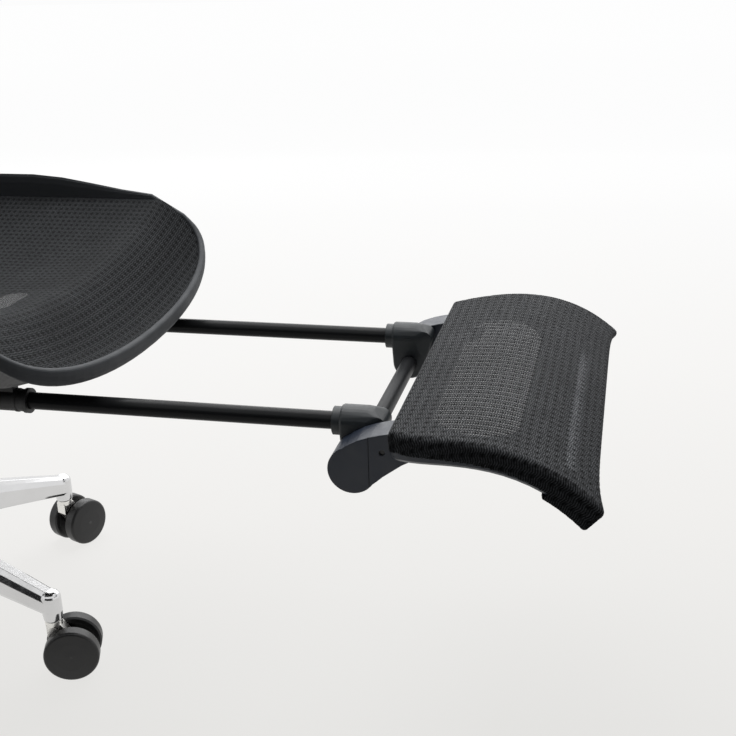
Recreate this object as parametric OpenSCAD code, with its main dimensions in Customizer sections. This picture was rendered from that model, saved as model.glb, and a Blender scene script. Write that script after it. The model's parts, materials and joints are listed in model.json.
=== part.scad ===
// Reclining office chair with a slide-out footrest that folds away under the seat.
// The sitter faces -Y, +Z is up, and z = 0 is the floor under the gas column.
// The chair is drawn with its footrest pulled out, its seat slid forward and its back leaning.

/* [Base] */
// Distance from the column to each caster stem
base_r = 290; // [275:1:305]
// Height of the leg tips' underside
leg_tip_z = 88; // [86:1:96]
// Height of a leg at its tip
leg_tip_h = 30; // [26:1:36]
// Width of a leg at its tip
leg_tip_w = 26; // [22:1:30]
// Height of a leg at the hub
leg_root_h = 54; // [46:1:60]
// Width of a leg at the hub
leg_root_w = 46; // [38:1:50]
// Rise of a leg's underside from tip to hub
leg_rise = 46; // [32:1:54]
// Diameter of the hub
hub_d = 86; // [76:1:96]
// Direction of the first leg, turned from straight ahead
leg_angle = 60.3; // [52:0.1:68]

/* [Casters] */
// Diameter of a caster wheel
wheel_d = 70; // [60:1:72]
// Width of one wheel
wheel_w = 18; // [16:1:22]
// Space between a caster's two wheels
wheel_gap = 19; // [14:1:22]
// Distance from the swivel axis to the wheel axle
caster_trail = 20; // [16:1:24]
// Diameter of the swivel stem
stem_d = 11; // [9:1:12]
// Length of the stem inside the leg
stem_len = 24; // [18:1:28]
// Diameter of the wheel axle
axle_d = 8; // [6:1:10]

/* [Gas lift] */
// Diameter of the standing tube
tube_d = 50; // [46:1:54]
// Wall of the standing tube
tube_wall = 3; // [2:0.5:4]
// Height of the standing tube's lower end
tube_foot_z = 60; // [50:1:70]
// Length of the standing tube
tube_len = 240; // [225:1:245]
// Diameter of the sliding cylinder
lift_d = 28; // [26:1:30]
// Length of the sliding cylinder
lift_len = 250; // [245:1:255]
// Diameter of the rod inside it
lift_rod_d = 10; // [8:1:12]
// Diameter of the release pin on its top
valve_d = 6; // [5:1:8]

/* [Mechanism] */
// Width of the tilt housing
mech_w = 144; // [136:1:150]
// Length of the tilt housing
mech_len = 230; // [215:1:240]
// Height of the tilt housing
mech_h = 49; // [46:1:50]
// Wall of the tilt housing
mech_wall = 5; // [4:0.5:7]
// Distance of the tilt axle behind the column
tilt_back = 88; // [80:1:90]
// Diameter of the tilt axle
tilt_axle_d = 12; // [10:1:14]
// Reach of the two side levers from the middle
lever_reach = 240; // [220:1:255]
// Diameter of the tension knob
knob_d = 38; // [32:1:42]

/* [Seat] */
// Width of the mesh between the side rims
seat_mesh_w = 519; // [495:1:530]
// Distance from the column forward to the mesh's front edge
seat_front = 428.5; // [420:0.5:440]
// Distance from the column back to the mesh's rear edge
seat_rear = 33; // [20:1:36]
// Depth of the bowed front edge
seat_bow = 53.5; // [40:0.5:80]
// Height of the mesh's front edge over the footrest rods
seat_front_up = 40; // [39:0.5:46]
// Rise from the front edge to the level part
seat_rise = 64; // [50:1:80]
// Length of that rise
seat_rise_len = 93; // [80:1:130]
// Extra height of the mesh at its sides
seat_wing = 34; // [20:1:40]
// Width of the rim
rim_w = 8; // [7:0.5:12]
// Height of the rim above the mesh in front
rim_up = 4; // [3:0.5:8]
// Height of the rim above the mesh at the sitter's hips
rim_side_up = 30; // [20:1:40]
// Depth of the rim below the mesh
rim_drop = 15.5; // [13:0.5:20]
// Sag of the mesh in the middle
seat_sag = 14; // [6:1:20]
// Thickness of the stretched mesh
mesh_t = 2.4; // [1.6:0.2:3]
// Thickness of the pan under the mesh
pan_t = 4; // [3:0.5:5]
// Height of the pan's flat underside over the rods
pan_up = 26; // [25:0.5:28]
// Length of each slot through the pan
pan_slot_len = 84; // [60:1:90]
// Width of each slot through the pan
pan_slot_w = 38; // [20:1:40]

/* [Footrest slide] */
// Height of the rods over the floor
rod_z = 412; // [408:1:425]
// Distance between the two rods
rod_gap = 268; // [262:1:280]
// Diameter of a rod
rod_d = 19; // [16:1:20]
// Wall of a rod
rod_wall = 1.5; // [1:0.5:2.5]
// Distance from the column forward to the rods' elbows
elbow_reach = 685; // [680:1:700]
// Length of rod between the guide and the elbow
rod_show = 344; // [335:1:360]
// Length of the guide sleeve on each rod
guide_len = 126; // [100:1:140]
// Diameter of the guide sleeve
guide_d = 25; // [24:1:28]
// Diameter of the stop on a rod's rear end
stop_d = 22.5; // [21:0.5:23]

/* [Footrest pad] */
// Distance from the rods down to the cross tube
tube_drop = 29; // [28:1:34]
// Distance from the elbow forward to the cross tube
tube_ahead = 30.5; // [28:0.5:34]
// Diameter of the cross tube
cross_d = 19; // [16:1:20]
// Radius of the arms' round hubs
hub_r = 25; // [24:0.5:27]
// Thickness of an arm
arm_t = 36; // [28:1:40]
// Distance from the cross tube forward to the pad's inner end
pad_gap = 40.5; // [38:0.5:44]
// Length of the pad
pad_len = 212; // [200:1:225]
// Width of the pad at its inner end
pad_in_w = 395; // [390:1:410]
// Width of the pad at its outer end
pad_out_w = 508; // [480:1:520]
// Depth of the pad at its inner end, from its top to its lip
pad_t = 34; // [30:1:36]
// Depth of the pad at its outer end
pad_tip_t = 26.5; // [25:0.5:30]
// Depth of the mesh sleeve on the pad's sides
sleeve_drop = 22; // [18:1:23]
// Thickness of the mesh sleeve
sleeve_t = 2.2; // [1.6:0.2:3]

/* [Back] */
// Lean of the back from upright
back_lean = 20; // [15:1:25]
// Height of the back's lower edge over the tilt axle
back_low = 175; // [168:1:185]
// Height of the mesh back
back_h = 525; // [480:1:560]
// Width of the mesh back
back_w = 460; // [420:1:480]
// Forward bulge at the sitter's waist
lumbar_bulge = 20; // [10:1:26]
// Sweep of the back's sides towards the sitter
back_wrap = 26; // [15:1:32]
// Thickness of the back's rim
back_rim_w = 20; // [16:1:24]
// Width of the spine
spine_w = 44; // [38:1:50]
// Thickness of the spine
spine_t = 18; // [15:1:20]
// Width of the lumbar support
lumbar_w = 230; // [200:1:260]
// Height of the lumbar support
lumbar_h = 90; // [80:1:100]

/* [Headrest] */
// Width of the headrest
head_w = 290; // [260:1:310]
// Height of the headrest
head_h = 135; // [120:1:150]
// Width of the headrest's stem
head_stem_w = 40; // [34:1:44]
// Thickness of the headrest's stem
head_stem_t = 8; // [6:1:9]
// Length of the headrest's stem
head_stem_len = 215; // [210:1:220]

/* [Armrests] */
// Distance from the middle to each arm post
arm_x = 318; // [314:1:330]
// Height of the arm pads over the rods
arm_up = 318; // [300:1:330]
// Length of an arm pad
arm_pad_len = 250; // [220:1:260]
// Width of an arm pad
arm_pad_w = 92; // [80:1:100]
// Thickness of an arm pad
arm_pad_t = 26; // [20:1:30]
// Length of the arm sleeve along the chair
sleeve_len = 46; // [42:1:50]
// Width of the arm sleeve
sleeve_w = 30; // [28:1:34]

/* [Hidden] */

$fn = 48;

// Clearance of a shaft in its hole, on the radius
run_fit = 0.05;
// Clearance between flat sliding faces
slide_fit = 0.3;
// Overrun of a cut past the face it starts from
cut_over = 2;

// Caster and leg details
leg_count = 5;
leg_section_shares = [
    [-0.42, 0], [-0.5, 0.14], [-0.5, 0.62], [-0.38, 0.84], [-0.2, 0.97],
    [0.2, 0.97], [0.38, 0.84], [0.5, 0.62], [0.5, 0.14], [0.42, 0]
];
leg_stations = 9;
hub_below = 12;
hub_above = 6;
tip_ring_h = 10;
tip_ring_in = 2;
tip_round = 9;
caster_turns = [-22, 35, 100, 160, -70];
fork_side_clear = 1.2;
fork_top_clear = 0.5;
fork_boss_d = 22;
fork_boss_h = 7;
fork_hub_r = 12;
wheel_round = 4;
wheel_dome = 1.6;
wheel_face = 3.5;
wheel_recess = 4;
wheel_end_gap = 0.5;

// Column details
bush_len = 85;
bush_lip = 4;
tube_floor_t = 5;
bearing_h = 7;
rod_foot_gap = 1;
piston_h = 12;
piston_at_share = 0.47;
lift_wall = 3;
lift_gland = 15;
lift_head = 22;
valve_up = 8;
valve_down = 10;

// Mechanism heights and details
mech_drop = 40;
mech_z = rod_z - mech_drop;
mech_top = mech_z + mech_h;
mech_front = -mech_len * 0.52;
mech_rear = mech_front + mech_len;
mech_corner = 18;
mech_boss_d = 50;
mech_boss_h = 30;
mech_floor = 5;
cover_t = 4;
cover_hole_d = 14;
tilt_up = 20;
tilt_z = mech_z + tilt_up;
ear_t = 12;
ear_r = 20;
ear_clear = 3;
tilt_axle_out = 3;
tilt_axle_len = mech_w + 2 * (ear_clear + ear_t + tilt_axle_out);
tilt_head_d = 20;
tilt_head_t = 3;
spring_wire = 7;
spring_turns = 5;
spring_len = 50;
spring_clear = 0.6;
rail_w = 20;
rail_at = 46;
rail_stem_w = 10;
rail_stem_h = 7;
rail_flange_h = 6;
rail_len = 190;
channel_wall = 5;
channel_front = -110;
channel_len = 150;

// Levers: each passes under the rods
lever_t = 8;
lever_pin_d = 5;
lever_under = 26;
lever_y = -42;
lever_inner_up = 16.5;
paddle_len = 52;
paddle_w = 40;
lock_shaft_d = 8;
lock_y = -42;
knob_len = 26;
knob_shaft_d = 8;
knob_ribs = 14;

// Seat shape
seat_half = seat_mesh_w / 2;
seat_mid_y = (seat_rear - seat_front) / 2;
rear_bow = 60;
n_front = 40;
n_side = 8;
n_rear = 22;
rim_wall_start = -360;
rim_wall_len = 209;
front_square_share = 0.79;
rim_shares = [
    [0, -0.8], [-0.06, 0], [0.02, 0.6], [0.14, 0.88], [0.32, 1], [0.54, 0.97], [0.76, 0.8],
    [0.92, 0.5], [1, 0.1], [1.02, -0.3], [0.94, -0.65], [0.76, -0.9], [0.5, -1], [0.2, -1]
];
mesh_tuck = 3;
mesh_rings = 6;
pan_edge_share = 0.36;
pan_under_share = 0.72;
pan_edge_clear = 0.5;
pan_slot_at = [120, -174];
button_w = 34;
button_t = 9;
button_reach = 30;

// Footrest slide details
rod_x = rod_gap / 2;
guide_front = -elbow_reach + rod_show;
guide_rear = guide_front + guide_len;
guide_web_w = 12;
guide_web_len = 34;
guide_ring_w = 5;
guide_ring_up = 3;
guide_ring_at = 16;
stop_len = 10;
rod_rear = guide_rear + stop_len + slide_fit;
rod_in_elbow = 26;
stop_spigot = 12;

// Elbows
elbow_w = 36;
elbow_r = 18;
elbow_len = 44;
elbow_nose = [58, 1];
elbow_nose_r = 11;
elbow_collar_d = 30;
elbow_split_w = 1.2;
elbow_split_deep = 1;
elbow_collar_len = 9;
elbow_foot_r = 20;
elbow_split_turn = 52;
elbow_fn = 32;
cross_y = -elbow_reach - tube_ahead;
cross_z = rod_z - tube_drop;
arm_side_gap = 1;
arm_in_x = rod_x + elbow_w / 2 + arm_side_gap;
arm_out_x = arm_in_x + arm_t;
cross_tube_end = 6;
cross_wall = 2;
groove_w = 3;
groove_deep = 1;
groove_turn = 62;

// Outline of an arm, from the cross tube's axis: forward and up, as shares of the hub's radius
arm_top_shares = [
    [0.7, 0.68], [0.21, 1.05], [-0.26, 1.31], [-0.78, 1.5], [-1.25, 1.62], [-1.9, 1.74], [-3.4, 1.9]
];
arm_low_shares = [
    [-3.4, 0.99], [-3.1, 0.9], [-2.57, 0.66], [-2.03, 0.37], [-1.63, 0.08], [-1.26, -0.19], [-0.99, -0.43]
];
arm_hub_drop_shares = [-0.66, -0.7];
screw_at_shares = [-1.25, 0.86];
screw_y = cross_y + screw_at_shares[0] * hub_r;
screw_z = cross_z + screw_at_shares[1] * hub_r;
screw_d = 6.3;
screw_deep = 5;
screw_head = 3;
arm_line_share = -0.72;

// Pad curve: a cubic from the inner end to the outer end, in the side view
pad_in_y = cross_y - pad_gap;
pad_out_y = pad_in_y - pad_len;
pad_in_up = 25.5;
pad_out_down = 23.5;
pad_in_z = rod_z + pad_in_up;
pad_out_z = rod_z - pad_out_down;
pad_in_handle = [43, 0];
pad_out_handle = [80, 80];
pad_flare_share = 0.46;
pad_stations = 17;
pad_round = 7;
pad_corner_pull = 13;
pad_corner_power = 8;
pad_end_shares = [0.45, 0.12];
pad_end_steps = [0.012, 0.035];
pad_open_shares = [0.2, 0.64];
pad_open_side = 30;
pad_open_round = 38;
pad_slot_share = 0.85;
pad_slot_w = 9;
pad_slot_side = 100;
pad_lip_w = 13;
pad_tip_share = 0.81;
pad_wrap_clear = 0.1;
pad_plate_t = 7;
skin_gap = 0.1;

// Back shape, measured upright from the tilt axle: backwards and up
back_in = 10;
back_top_sweep = 35;
back_top_share = 0.84;
back_low_share = 0.8;
back_bow_low = 50;
back_bow_top = 46;
n_back_low = 14;
n_back_side = 12;
n_back_top = 14;
back_rim_shares = [
    [0, -0.35], [0.35, -0.5], [0.8, -0.4], [1, -0.1], [1, 0.35], [0.7, 0.5], [0.25, 0.5], [0, 0.2]
];
back_mesh_tuck = 3;
back_mesh_rings = 6;
spine_in = 50;
spine_low = 120;
spine_top = 445;
spine_foot = [44, 8];
rib_up = 405;
rib_h = 30;
rib_t = 12;
rib_stations = 11;
tab_up = 193;
tab_h = 22;
tab_w = 60;
socket_w = 64;
socket_t = 20;
socket_h = 66;
socket_below = 54;
socket_up = back_low + back_h - socket_below;
screw_head_d = 10;
screw_head_t = 3;
back_screw_d = 6;
lumbar_up = 262;
lumbar_gap = 6;
lumbar_t = 7;
lumbar_clamp = 7;
lumbar_clamp_h = 44;

// Headrest, in the same upright measures
head_stem_in = 54;
head_stem_below = 98;
head_stem_low = back_low + back_h - head_stem_below;
head_pivot_d = 10;
head_pivot_w = 66;
head_lug_w = 12;
head_lug_r = 11;
head_front_in = 14;
head_wrap = 34;
head_rim_w = 16;
n_head = 40;
head_mesh_rings = 5;
head_up = head_stem_low + head_stem_len;

// Armrests
bracket_t = 8;
bracket_up = 15;
bracket_w = 62;
bracket_y = 8;
sleeve_low = rod_z + bracket_up;
sleeve_h = 165;
sleeve_corner = 8;
sleeve_wall = 5;
post_insert = 120;
post_head_h = 12;
arm_z = rod_z + arm_up;
arm_pivot_d = 16;
arm_pad_y = 38;
arm_pad_in = 14;
arm_pad_corner = 24;
arm_base_t = 9;
arm_button_w = 24;
arm_button_h = 12;
arm_button_t = 6;
arm_button_travel = 3;
post_top = arm_z - arm_pad_t - arm_base_t;

function mix(a, b, t) = a + (b - a) * t;
function smooth(t) = let (c = min(1, max(0, t))) c * c * (3 - 2 * c);
function unit(v) = v / norm(v);
function reversed(v) = [for (i = [len(v) - 1 : -1 : 0]) v[i]];

// Plan normals of a closed path that runs anticlockwise
function outward(path) = [
    for (i = [0 : len(path) - 1])
        let (d = unit(path[(i + 1) % len(path)] - path[(i + len(path) - 1) % len(path)]))
        [d[1], -d[0]]
];

// Faces between rings of m points; the last ring meets the first when closed
function wall_faces(n, m, closed) = [
    for (i = [0 : n - (closed ? 1 : 2)], j = [0 : m - 1])
        let (a = i * m + j, b = i * m + (j + 1) % m,
             c = ((i + 1) % n) * m + (j + 1) % m, d = ((i + 1) % n) * m + j)
        each [[a, b, c], [a, c, d]]
];

// A closed bar through rings of points, capped at both ends
module loft(rings) {
    n = len(rings);
    m = len(rings[0]);
    polyhedron(
        points = [for (r = rings) each r],
        faces = concat(
            wall_faces(n, m, false),
            [[for (j = [m - 1 : -1 : 0]) j]],
            [[for (j = [0 : m - 1]) (n - 1) * m + j]]
        )
    );
}

// A closed ring through rings of points
module ring_loft(rings) {
    polyhedron(points = [for (r = rings) each r], faces = wall_faces(len(rings), len(rings[0]), true));
}

// A thin sheet inside a closed edge: rings from the edge to one middle point, front and back
module sheet(front_rings, front_mid, back_rings, back_mid) {
    k = len(front_rings);
    m = len(front_rings[0]);
    half = k * m + 1;
    polyhedron(
        points = concat(
            [for (r = front_rings) each r], [front_mid], [for (r = back_rings) each r], [back_mid]),
        faces = concat(
            wall_faces(k, m, false),
            [for (j = [0 : m - 1]) [(k - 1) * m + j, (k - 1) * m + (j + 1) % m, k * m]],
            [for (f = wall_faces(k, m, false)) [half + f[0], half + f[2], half + f[1]]],
            [for (j = [0 : m - 1]) [half + (k - 1) * m + (j + 1) % m, half + (k - 1) * m + j, half + k * m]],
            [for (j = [0 : m - 1]) each [
                [j, half + j, half + (j + 1) % m], [j, half + (j + 1) % m, (j + 1) % m]]]
        )
    );
}

module rounded_rect(w, l, r) {
    square([w - 2 * r, l], center = true);
    square([w, l - 2 * r], center = true);
    for (x = [-1, 1], y = [-1, 1])
        translate([x * (w / 2 - r), y * (l / 2 - r)]) circle(r);
}

// Child drawn once on each side of the chair
module both_sides() {
    children();
    mirror([1, 0, 0]) children();
}

// Turns a profile drawn as (y, z) and extrudes it w wide across the chair
module across(w, x = 0) {
    translate([x - w / 2, 0, 0]) rotate([90, 0, 90]) linear_extrude(w) children();
}

// Base

module leg() {
    loft([
        for (i = [0 : leg_stations - 1])
            let (t = i / (leg_stations - 1),
                 s = mix(hub_d * 0.3, base_r, t),
                 w = mix(leg_root_w, leg_tip_w, t),
                 h = mix(leg_root_h, leg_tip_h, smooth(t * 0.7) / smooth(0.7)),
                 z = leg_tip_z + leg_rise * (1 - pow(t, 1.25)))
            [for (q = leg_section_shares) [q[0] * w, -s, z + q[1] * h]]
    ]);
    translate([0, -base_r, leg_tip_z]) rotate_extrude() polygon(concat(
        [[0, -tip_ring_h], [leg_tip_w / 2 - tip_ring_in, -tip_ring_h],
         [leg_tip_w / 2 - tip_ring_in / 2, -tip_ring_h + tip_ring_in / 2], [leg_tip_w / 2, tip_ring_in]],
        [for (a = [0 : 15 : 90])
            [leg_tip_w / 2 - tip_round + tip_round * cos(a), leg_tip_h - tip_round + tip_round * sin(a)]],
        [[0, leg_tip_h]]
    ));
}

hub_z = leg_tip_z + leg_rise - hub_below;
hub_top = leg_tip_z + leg_rise + leg_root_h + hub_above;

module star_base() {
    color("silver") difference() {
        union() {
            for (k = [0 : leg_count - 1]) rotate([0, 0, leg_angle + k * 360 / leg_count]) leg();
            translate([0, 0, hub_z]) rotate_extrude() polygon([
                [0, 0], [hub_d / 2 - hub_above, 0], [hub_d / 2, hub_above],
                [hub_d / 2, hub_top - hub_z - 2 * hub_above], [hub_d / 2 - 2 * hub_above, hub_top - hub_z],
                [0, hub_top - hub_z]
            ]);
        }
        translate([0, 0, tube_foot_z]) cylinder(h = tube_len, d = tube_d);
        for (k = [0 : leg_count - 1])
            rotate([0, 0, leg_angle + k * 360 / leg_count])
                translate([0, -base_r, leg_tip_z - tip_ring_h - cut_over])
                    cylinder(h = stem_len + cut_over + 2 * fork_top_clear, d = stem_d + 2 * run_fit);
    }
}

// Casters: k counts the legs, and each stands turned by its own angle
module caster_place(k) {
    a = leg_angle + k * 360 / leg_count;
    translate([base_r * sin(a), -base_r * cos(a), 0]) rotate([0, 0, caster_turns[k]]) children();
}

module caster_fork(k) {
    top = leg_tip_z - tip_ring_h - fork_top_clear;
    web = wheel_gap - 2 * fork_side_clear;
    color("gainsboro") caster_place(k) {
        translate([0, 0, top - fork_boss_h]) cylinder(h = fork_boss_h, d = fork_boss_d);
        translate([0, 0, top - fork_boss_h])
            cylinder(h = fork_boss_h + fork_top_clear + stem_len, d = stem_d);
        hull() {
            translate([0, 0, top - fork_boss_h - web / 2 + cut_over])
                cube([fork_boss_d - 2 * cut_over, web, web], center = true);
            translate([caster_trail, 0, wheel_d / 2]) rotate([90, 0, 0])
                cylinder(h = web, r = fork_hub_r, center = true, $fn = 32);
        }
        translate([caster_trail, 0, wheel_d / 2]) rotate([90, 0, 0])
            cylinder(h = wheel_gap + 2 * (wheel_w - wheel_face - wheel_end_gap), d = axle_d, center = true);
    }
}

module caster_wheel(k, side) {
    r = wheel_d / 2;
    color([0.13, 0.13, 0.14]) caster_place(k)
        translate([caster_trail, side * wheel_gap / 2, r]) rotate([-side * 90, 0, 0])
            rotate_extrude($fn = 64) polygon(concat(
                [[axle_d / 2 + run_fit, 0], [axle_d / 2 + run_fit, wheel_w - wheel_face],
                 [0, wheel_w - wheel_face], [0, wheel_w + wheel_dome],
                 [r * 0.55, wheel_w + wheel_dome * 0.7], [r - wheel_round, wheel_w]],
                [for (a = [75 : -15 : 0])
                    [r - wheel_round + wheel_round * cos(a), wheel_w - wheel_round + wheel_round * sin(a)]],
                [[r, wheel_round / 2], [r - wheel_round / 2, 0], [r - 2 * wheel_round, 0],
                 [r - 2 * wheel_round, wheel_recess], [axle_d + wheel_recess, wheel_recess],
                 [axle_d + wheel_recess, 0]]
            ));
}

// Gas lift

module gas_outer_tube() {
    color([0.1, 0.1, 0.11]) difference() {
        translate([0, 0, tube_foot_z]) cylinder(h = tube_len, d = tube_d);
        translate([0, 0, tube_foot_z + tube_floor_t]) cylinder(h = tube_len, d = tube_d - 2 * tube_wall);
        translate([0, 0, tube_foot_z - cut_over])
            cylinder(h = tube_floor_t + 2 * cut_over, d = lift_rod_d + 2 * run_fit);
    }
}

tube_top = tube_foot_z + tube_len;

module gas_guide_bush() {
    color("dimgray") difference() {
        union() {
            translate([0, 0, tube_top - bush_len]) cylinder(h = bush_len, d = tube_d - 2 * tube_wall);
            translate([0, 0, tube_top]) cylinder(h = bush_lip, d = tube_d - tube_wall);
        }
        translate([0, 0, tube_top - bush_len - cut_over])
            cylinder(h = bush_len + bush_lip + 2 * cut_over, d = lift_d + 2 * run_fit);
    }
}

module gas_thrust_bearing() {
    color("silver") translate([0, 0, tube_foot_z + tube_floor_t]) difference() {
        cylinder(h = bearing_h, d = lift_d);
        translate([0, 0, -cut_over]) cylinder(h = bearing_h + 2 * cut_over, d = lift_rod_d + 2 * run_fit);
    }
}

lever_tip_t = 3.2;
lift_top = mech_top - cover_t - valve_up - 2 * slide_fit - lever_tip_t;
lift_foot = lift_top - lift_len;
piston_z = mix(lift_foot + lift_gland, lift_top - lift_head, piston_at_share);

module gas_piston_rod() {
    color("gray") {
        translate([0, 0, tube_foot_z + rod_foot_gap])
            cylinder(h = piston_z - tube_foot_z - rod_foot_gap, d = lift_rod_d);
        translate([0, 0, tube_foot_z + tube_floor_t + bearing_h + slide_fit])
            cylinder(h = cut_over, d = 2 * lift_rod_d);
        translate([0, 0, piston_z]) cylinder(h = piston_h, d = lift_d - 2 * lift_wall - 2 * run_fit);
    }
}

module gas_cylinder() {
    color("darkgray") difference() {
        translate([0, 0, lift_foot]) cylinder(h = lift_len, d = lift_d);
        translate([0, 0, lift_foot + lift_gland])
            cylinder(h = lift_len - lift_gland - lift_head, d = lift_d - 2 * lift_wall);
        translate([0, 0, lift_foot - cut_over])
            cylinder(h = lift_gland + 2 * cut_over, d = lift_rod_d + 2 * run_fit);
        translate([0, 0, lift_top - lift_head + cut_over])
            cylinder(h = lift_head, d = valve_d + 2 * run_fit);
    }
}

module gas_release_pin() {
    color("gold") translate([0, 0, lift_top - valve_down]) cylinder(h = valve_down + valve_up, d = valve_d);
}

// Mechanism

mech_mid_y = (mech_front + mech_rear) / 2;
lever_z = mech_top - lever_under;

module mechanism_housing() {
    color([0.16, 0.16, 0.17]) difference() {
        union() {
            difference() {
                translate([0, mech_mid_y, mech_z]) linear_extrude(mech_h)
                    rounded_rect(mech_w, mech_len, mech_corner);
                translate([0, mech_mid_y, mech_z + mech_floor]) linear_extrude(mech_h)
                    rounded_rect(mech_w - 2 * mech_wall, mech_len - 2 * mech_wall, mech_corner - mech_wall);
            }
            translate([0, 0, mech_z]) cylinder(h = mech_boss_h, d = mech_boss_d);
            // Lugs that hold the height lever's pin
            for (s = [-1, 1])
                translate([-mech_w / 2 + mech_wall - cut_over / 2, lever_y, lever_z])
                    translate([lever_pin_d + cut_over,
                               s * (lever_t / 2 + slide_fit + mech_wall / 2), -lever_t / 2])
                        cube([2 * lever_pin_d + 2 * cut_over, mech_wall, 3 * lever_t], center = true);
            translate([-mech_w / 2 + mech_wall + lever_pin_d + cut_over, lever_y, lever_z]) rotate([90, 0, 0])
                cylinder(h = lever_t + 2 * mech_wall, d = lever_pin_d, center = true);
        }
        translate([0, 0, mech_z - cut_over]) cylinder(h = mech_h, d = lift_d);
        // Window for the height lever
        translate([-mech_w / 2, lever_y, lever_z])
            cube([3 * mech_wall, lever_t + 4 * slide_fit, 2.6 * lever_t], center = true);
        // Holes for the lock lever's shaft, the tilt axle and the knob's shaft
        translate([mech_w / 2, lock_y, lever_z]) rotate([0, 90, 0])
            cylinder(h = 4 * mech_wall, d = lock_shaft_d + 2 * run_fit, center = true);
        translate([0, tilt_back, tilt_z]) rotate([0, 90, 0])
            cylinder(h = mech_w + 2 * cut_over, d = tilt_axle_d, center = true);
        translate([0, mech_front, lever_z]) rotate([90, 0, 0])
            cylinder(h = 4 * mech_wall, d = knob_shaft_d + 2 * run_fit, center = true);
    }
}

module mechanism_cover() {
    color([0.1, 0.1, 0.1]) translate([0, mech_mid_y, mech_top - cover_t])
    linear_extrude(cover_t) difference() {
        rounded_rect(mech_w - 2 * mech_wall, mech_len - 2 * mech_wall, mech_corner - mech_wall);
        translate([0, -mech_mid_y]) circle(d = cover_hole_d);
    }
}

module tilt_axle() {
    color("silver") translate([0, tilt_back, tilt_z]) rotate([0, 90, 0]) {
        cylinder(h = tilt_axle_len, d = tilt_axle_d, center = true);
        for (s = [-1, 1]) translate([0, 0, s * (tilt_axle_len / 2 + tilt_head_t / 2)])
            cylinder(h = tilt_head_t, d = tilt_head_d, center = true);
    }
}

// A torsion spring wound round the tilt axle
spring_r = tilt_axle_d / 2 + spring_wire / 2 + spring_clear;
spring_steps = 12;
function coil_ring(a, r, pitch, wire) = [
    for (b = [0 : 60 : 300])
        let (q = r + wire / 2 * cos(b))
        [pitch * a / 360 + wire / 2 * sin(b), q * cos(a), q * sin(a)]
];
module coil(turns, r, pitch, wire) {
    loft([for (i = [0 : turns * spring_steps]) coil_ring(i * 360 / spring_steps, r, pitch, wire)]);
}
module tilt_spring() {
    color("dimgray") translate([-spring_len / 2, tilt_back, tilt_z])
        coil(spring_turns, spring_r, spring_len / spring_turns, spring_wire);
}
echo("tilt_spring least gap between turns", spring_len / spring_turns - spring_wire);

module rail_profile(grow) {
    translate([-rail_stem_w / 2 - grow, 0]) square([rail_stem_w + 2 * grow, rail_stem_h + cut_over]);
    translate([-rail_w / 2 - grow, rail_stem_h - grow]) square([rail_w + 2 * grow, rail_flange_h + 2 * grow]);
}

module seat_rails() {
    color("gray") for (s = [-1, 1])
        translate([s * rail_at, mech_mid_y + rail_len / 2, mech_top]) rotate([90, 0, 0])
            linear_extrude(rail_len) rail_profile(0);
}

// Height lever: a rocker that passes under the rod and presses the release pin
lever_pin_x = -mech_w / 2 + mech_wall + lever_pin_d + cut_over;
module height_lever() {
    inner = -valve_d / 2;
    tip_z = lift_top + valve_up + slide_fit;
    low = lever_z - lever_t;
    color([0.1, 0.1, 0.1]) difference() {
        union() {
            translate([0, lever_y + lever_t / 2, 0]) rotate([90, 0, 0]) linear_extrude(lever_t) polygon([
                [inner - valve_d, tip_z], [inner - valve_d, tip_z + lever_tip_t],
                [lever_pin_x + 1.4 * lever_t, tip_z + lever_tip_t],
                [lever_pin_x, lever_z + 0.8 * lever_t], [lever_pin_x - lever_t, lever_z + lever_t / 2],
                [-mech_w / 2 - lever_t, low + lever_t], [-lever_reach + paddle_len, low + lever_t],
                [-lever_reach + paddle_len, low], [-mech_w / 2 - lever_t, low],
                [lever_pin_x, lever_z - 0.7 * lever_t], [lever_pin_x + 1.4 * lever_t, tip_z - 0.6 * lever_t],
                [inner - valve_d - lever_t, tip_z - 0.2 * lever_t]
            ]);
            // Finger across to the release pin
            translate([inner - valve_d - lever_t / 2, lever_y, tip_z])
                cube([valve_d * 2 + lever_t / 2, -lever_y + valve_d / 2, lever_tip_t]);
            translate([-lever_reach + paddle_len / 2, lever_y, low]) linear_extrude(lever_t)
                rounded_rect(paddle_len, paddle_w, lever_t);
        }
        translate([lever_pin_x, lever_y, lever_z]) rotate([90, 0, 0])
            cylinder(h = 2 * lever_t, d = lever_pin_d + 2 * run_fit, center = true);
    }
}

module tilt_lock_lever() {
    color([0.1, 0.1, 0.1]) {
        translate([mech_w / 2 - 4 * mech_wall, lock_y, lever_z]) rotate([0, 90, 0])
            cylinder(h = lever_reach - mech_w / 2 + 4 * mech_wall - paddle_len / 2, d = lock_shaft_d);
        translate([lever_reach - paddle_len / 2, lock_y - paddle_w * 0.3, lever_z - lever_t / 2])
            linear_extrude(lever_t) rounded_rect(paddle_len, paddle_w, lever_t);
    }
}

module tension_knob() {
    face = mech_front - slide_fit;
    color([0.1, 0.1, 0.1]) translate([0, face, lever_z]) rotate([90, 0, 0]) {
        linear_extrude(knob_len) difference() {
            circle(d = knob_d);
            for (k = [0 : knob_ribs - 1]) rotate([0, 0, k * 360 / knob_ribs])
                translate([knob_d / 2, 0]) circle(r = knob_d / 24, $fn = 24);
        }
        translate([0, 0, -4 * mech_wall]) cylinder(h = 4 * mech_wall + cut_over, d = knob_shaft_d);
    }
}

// Seat

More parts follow.
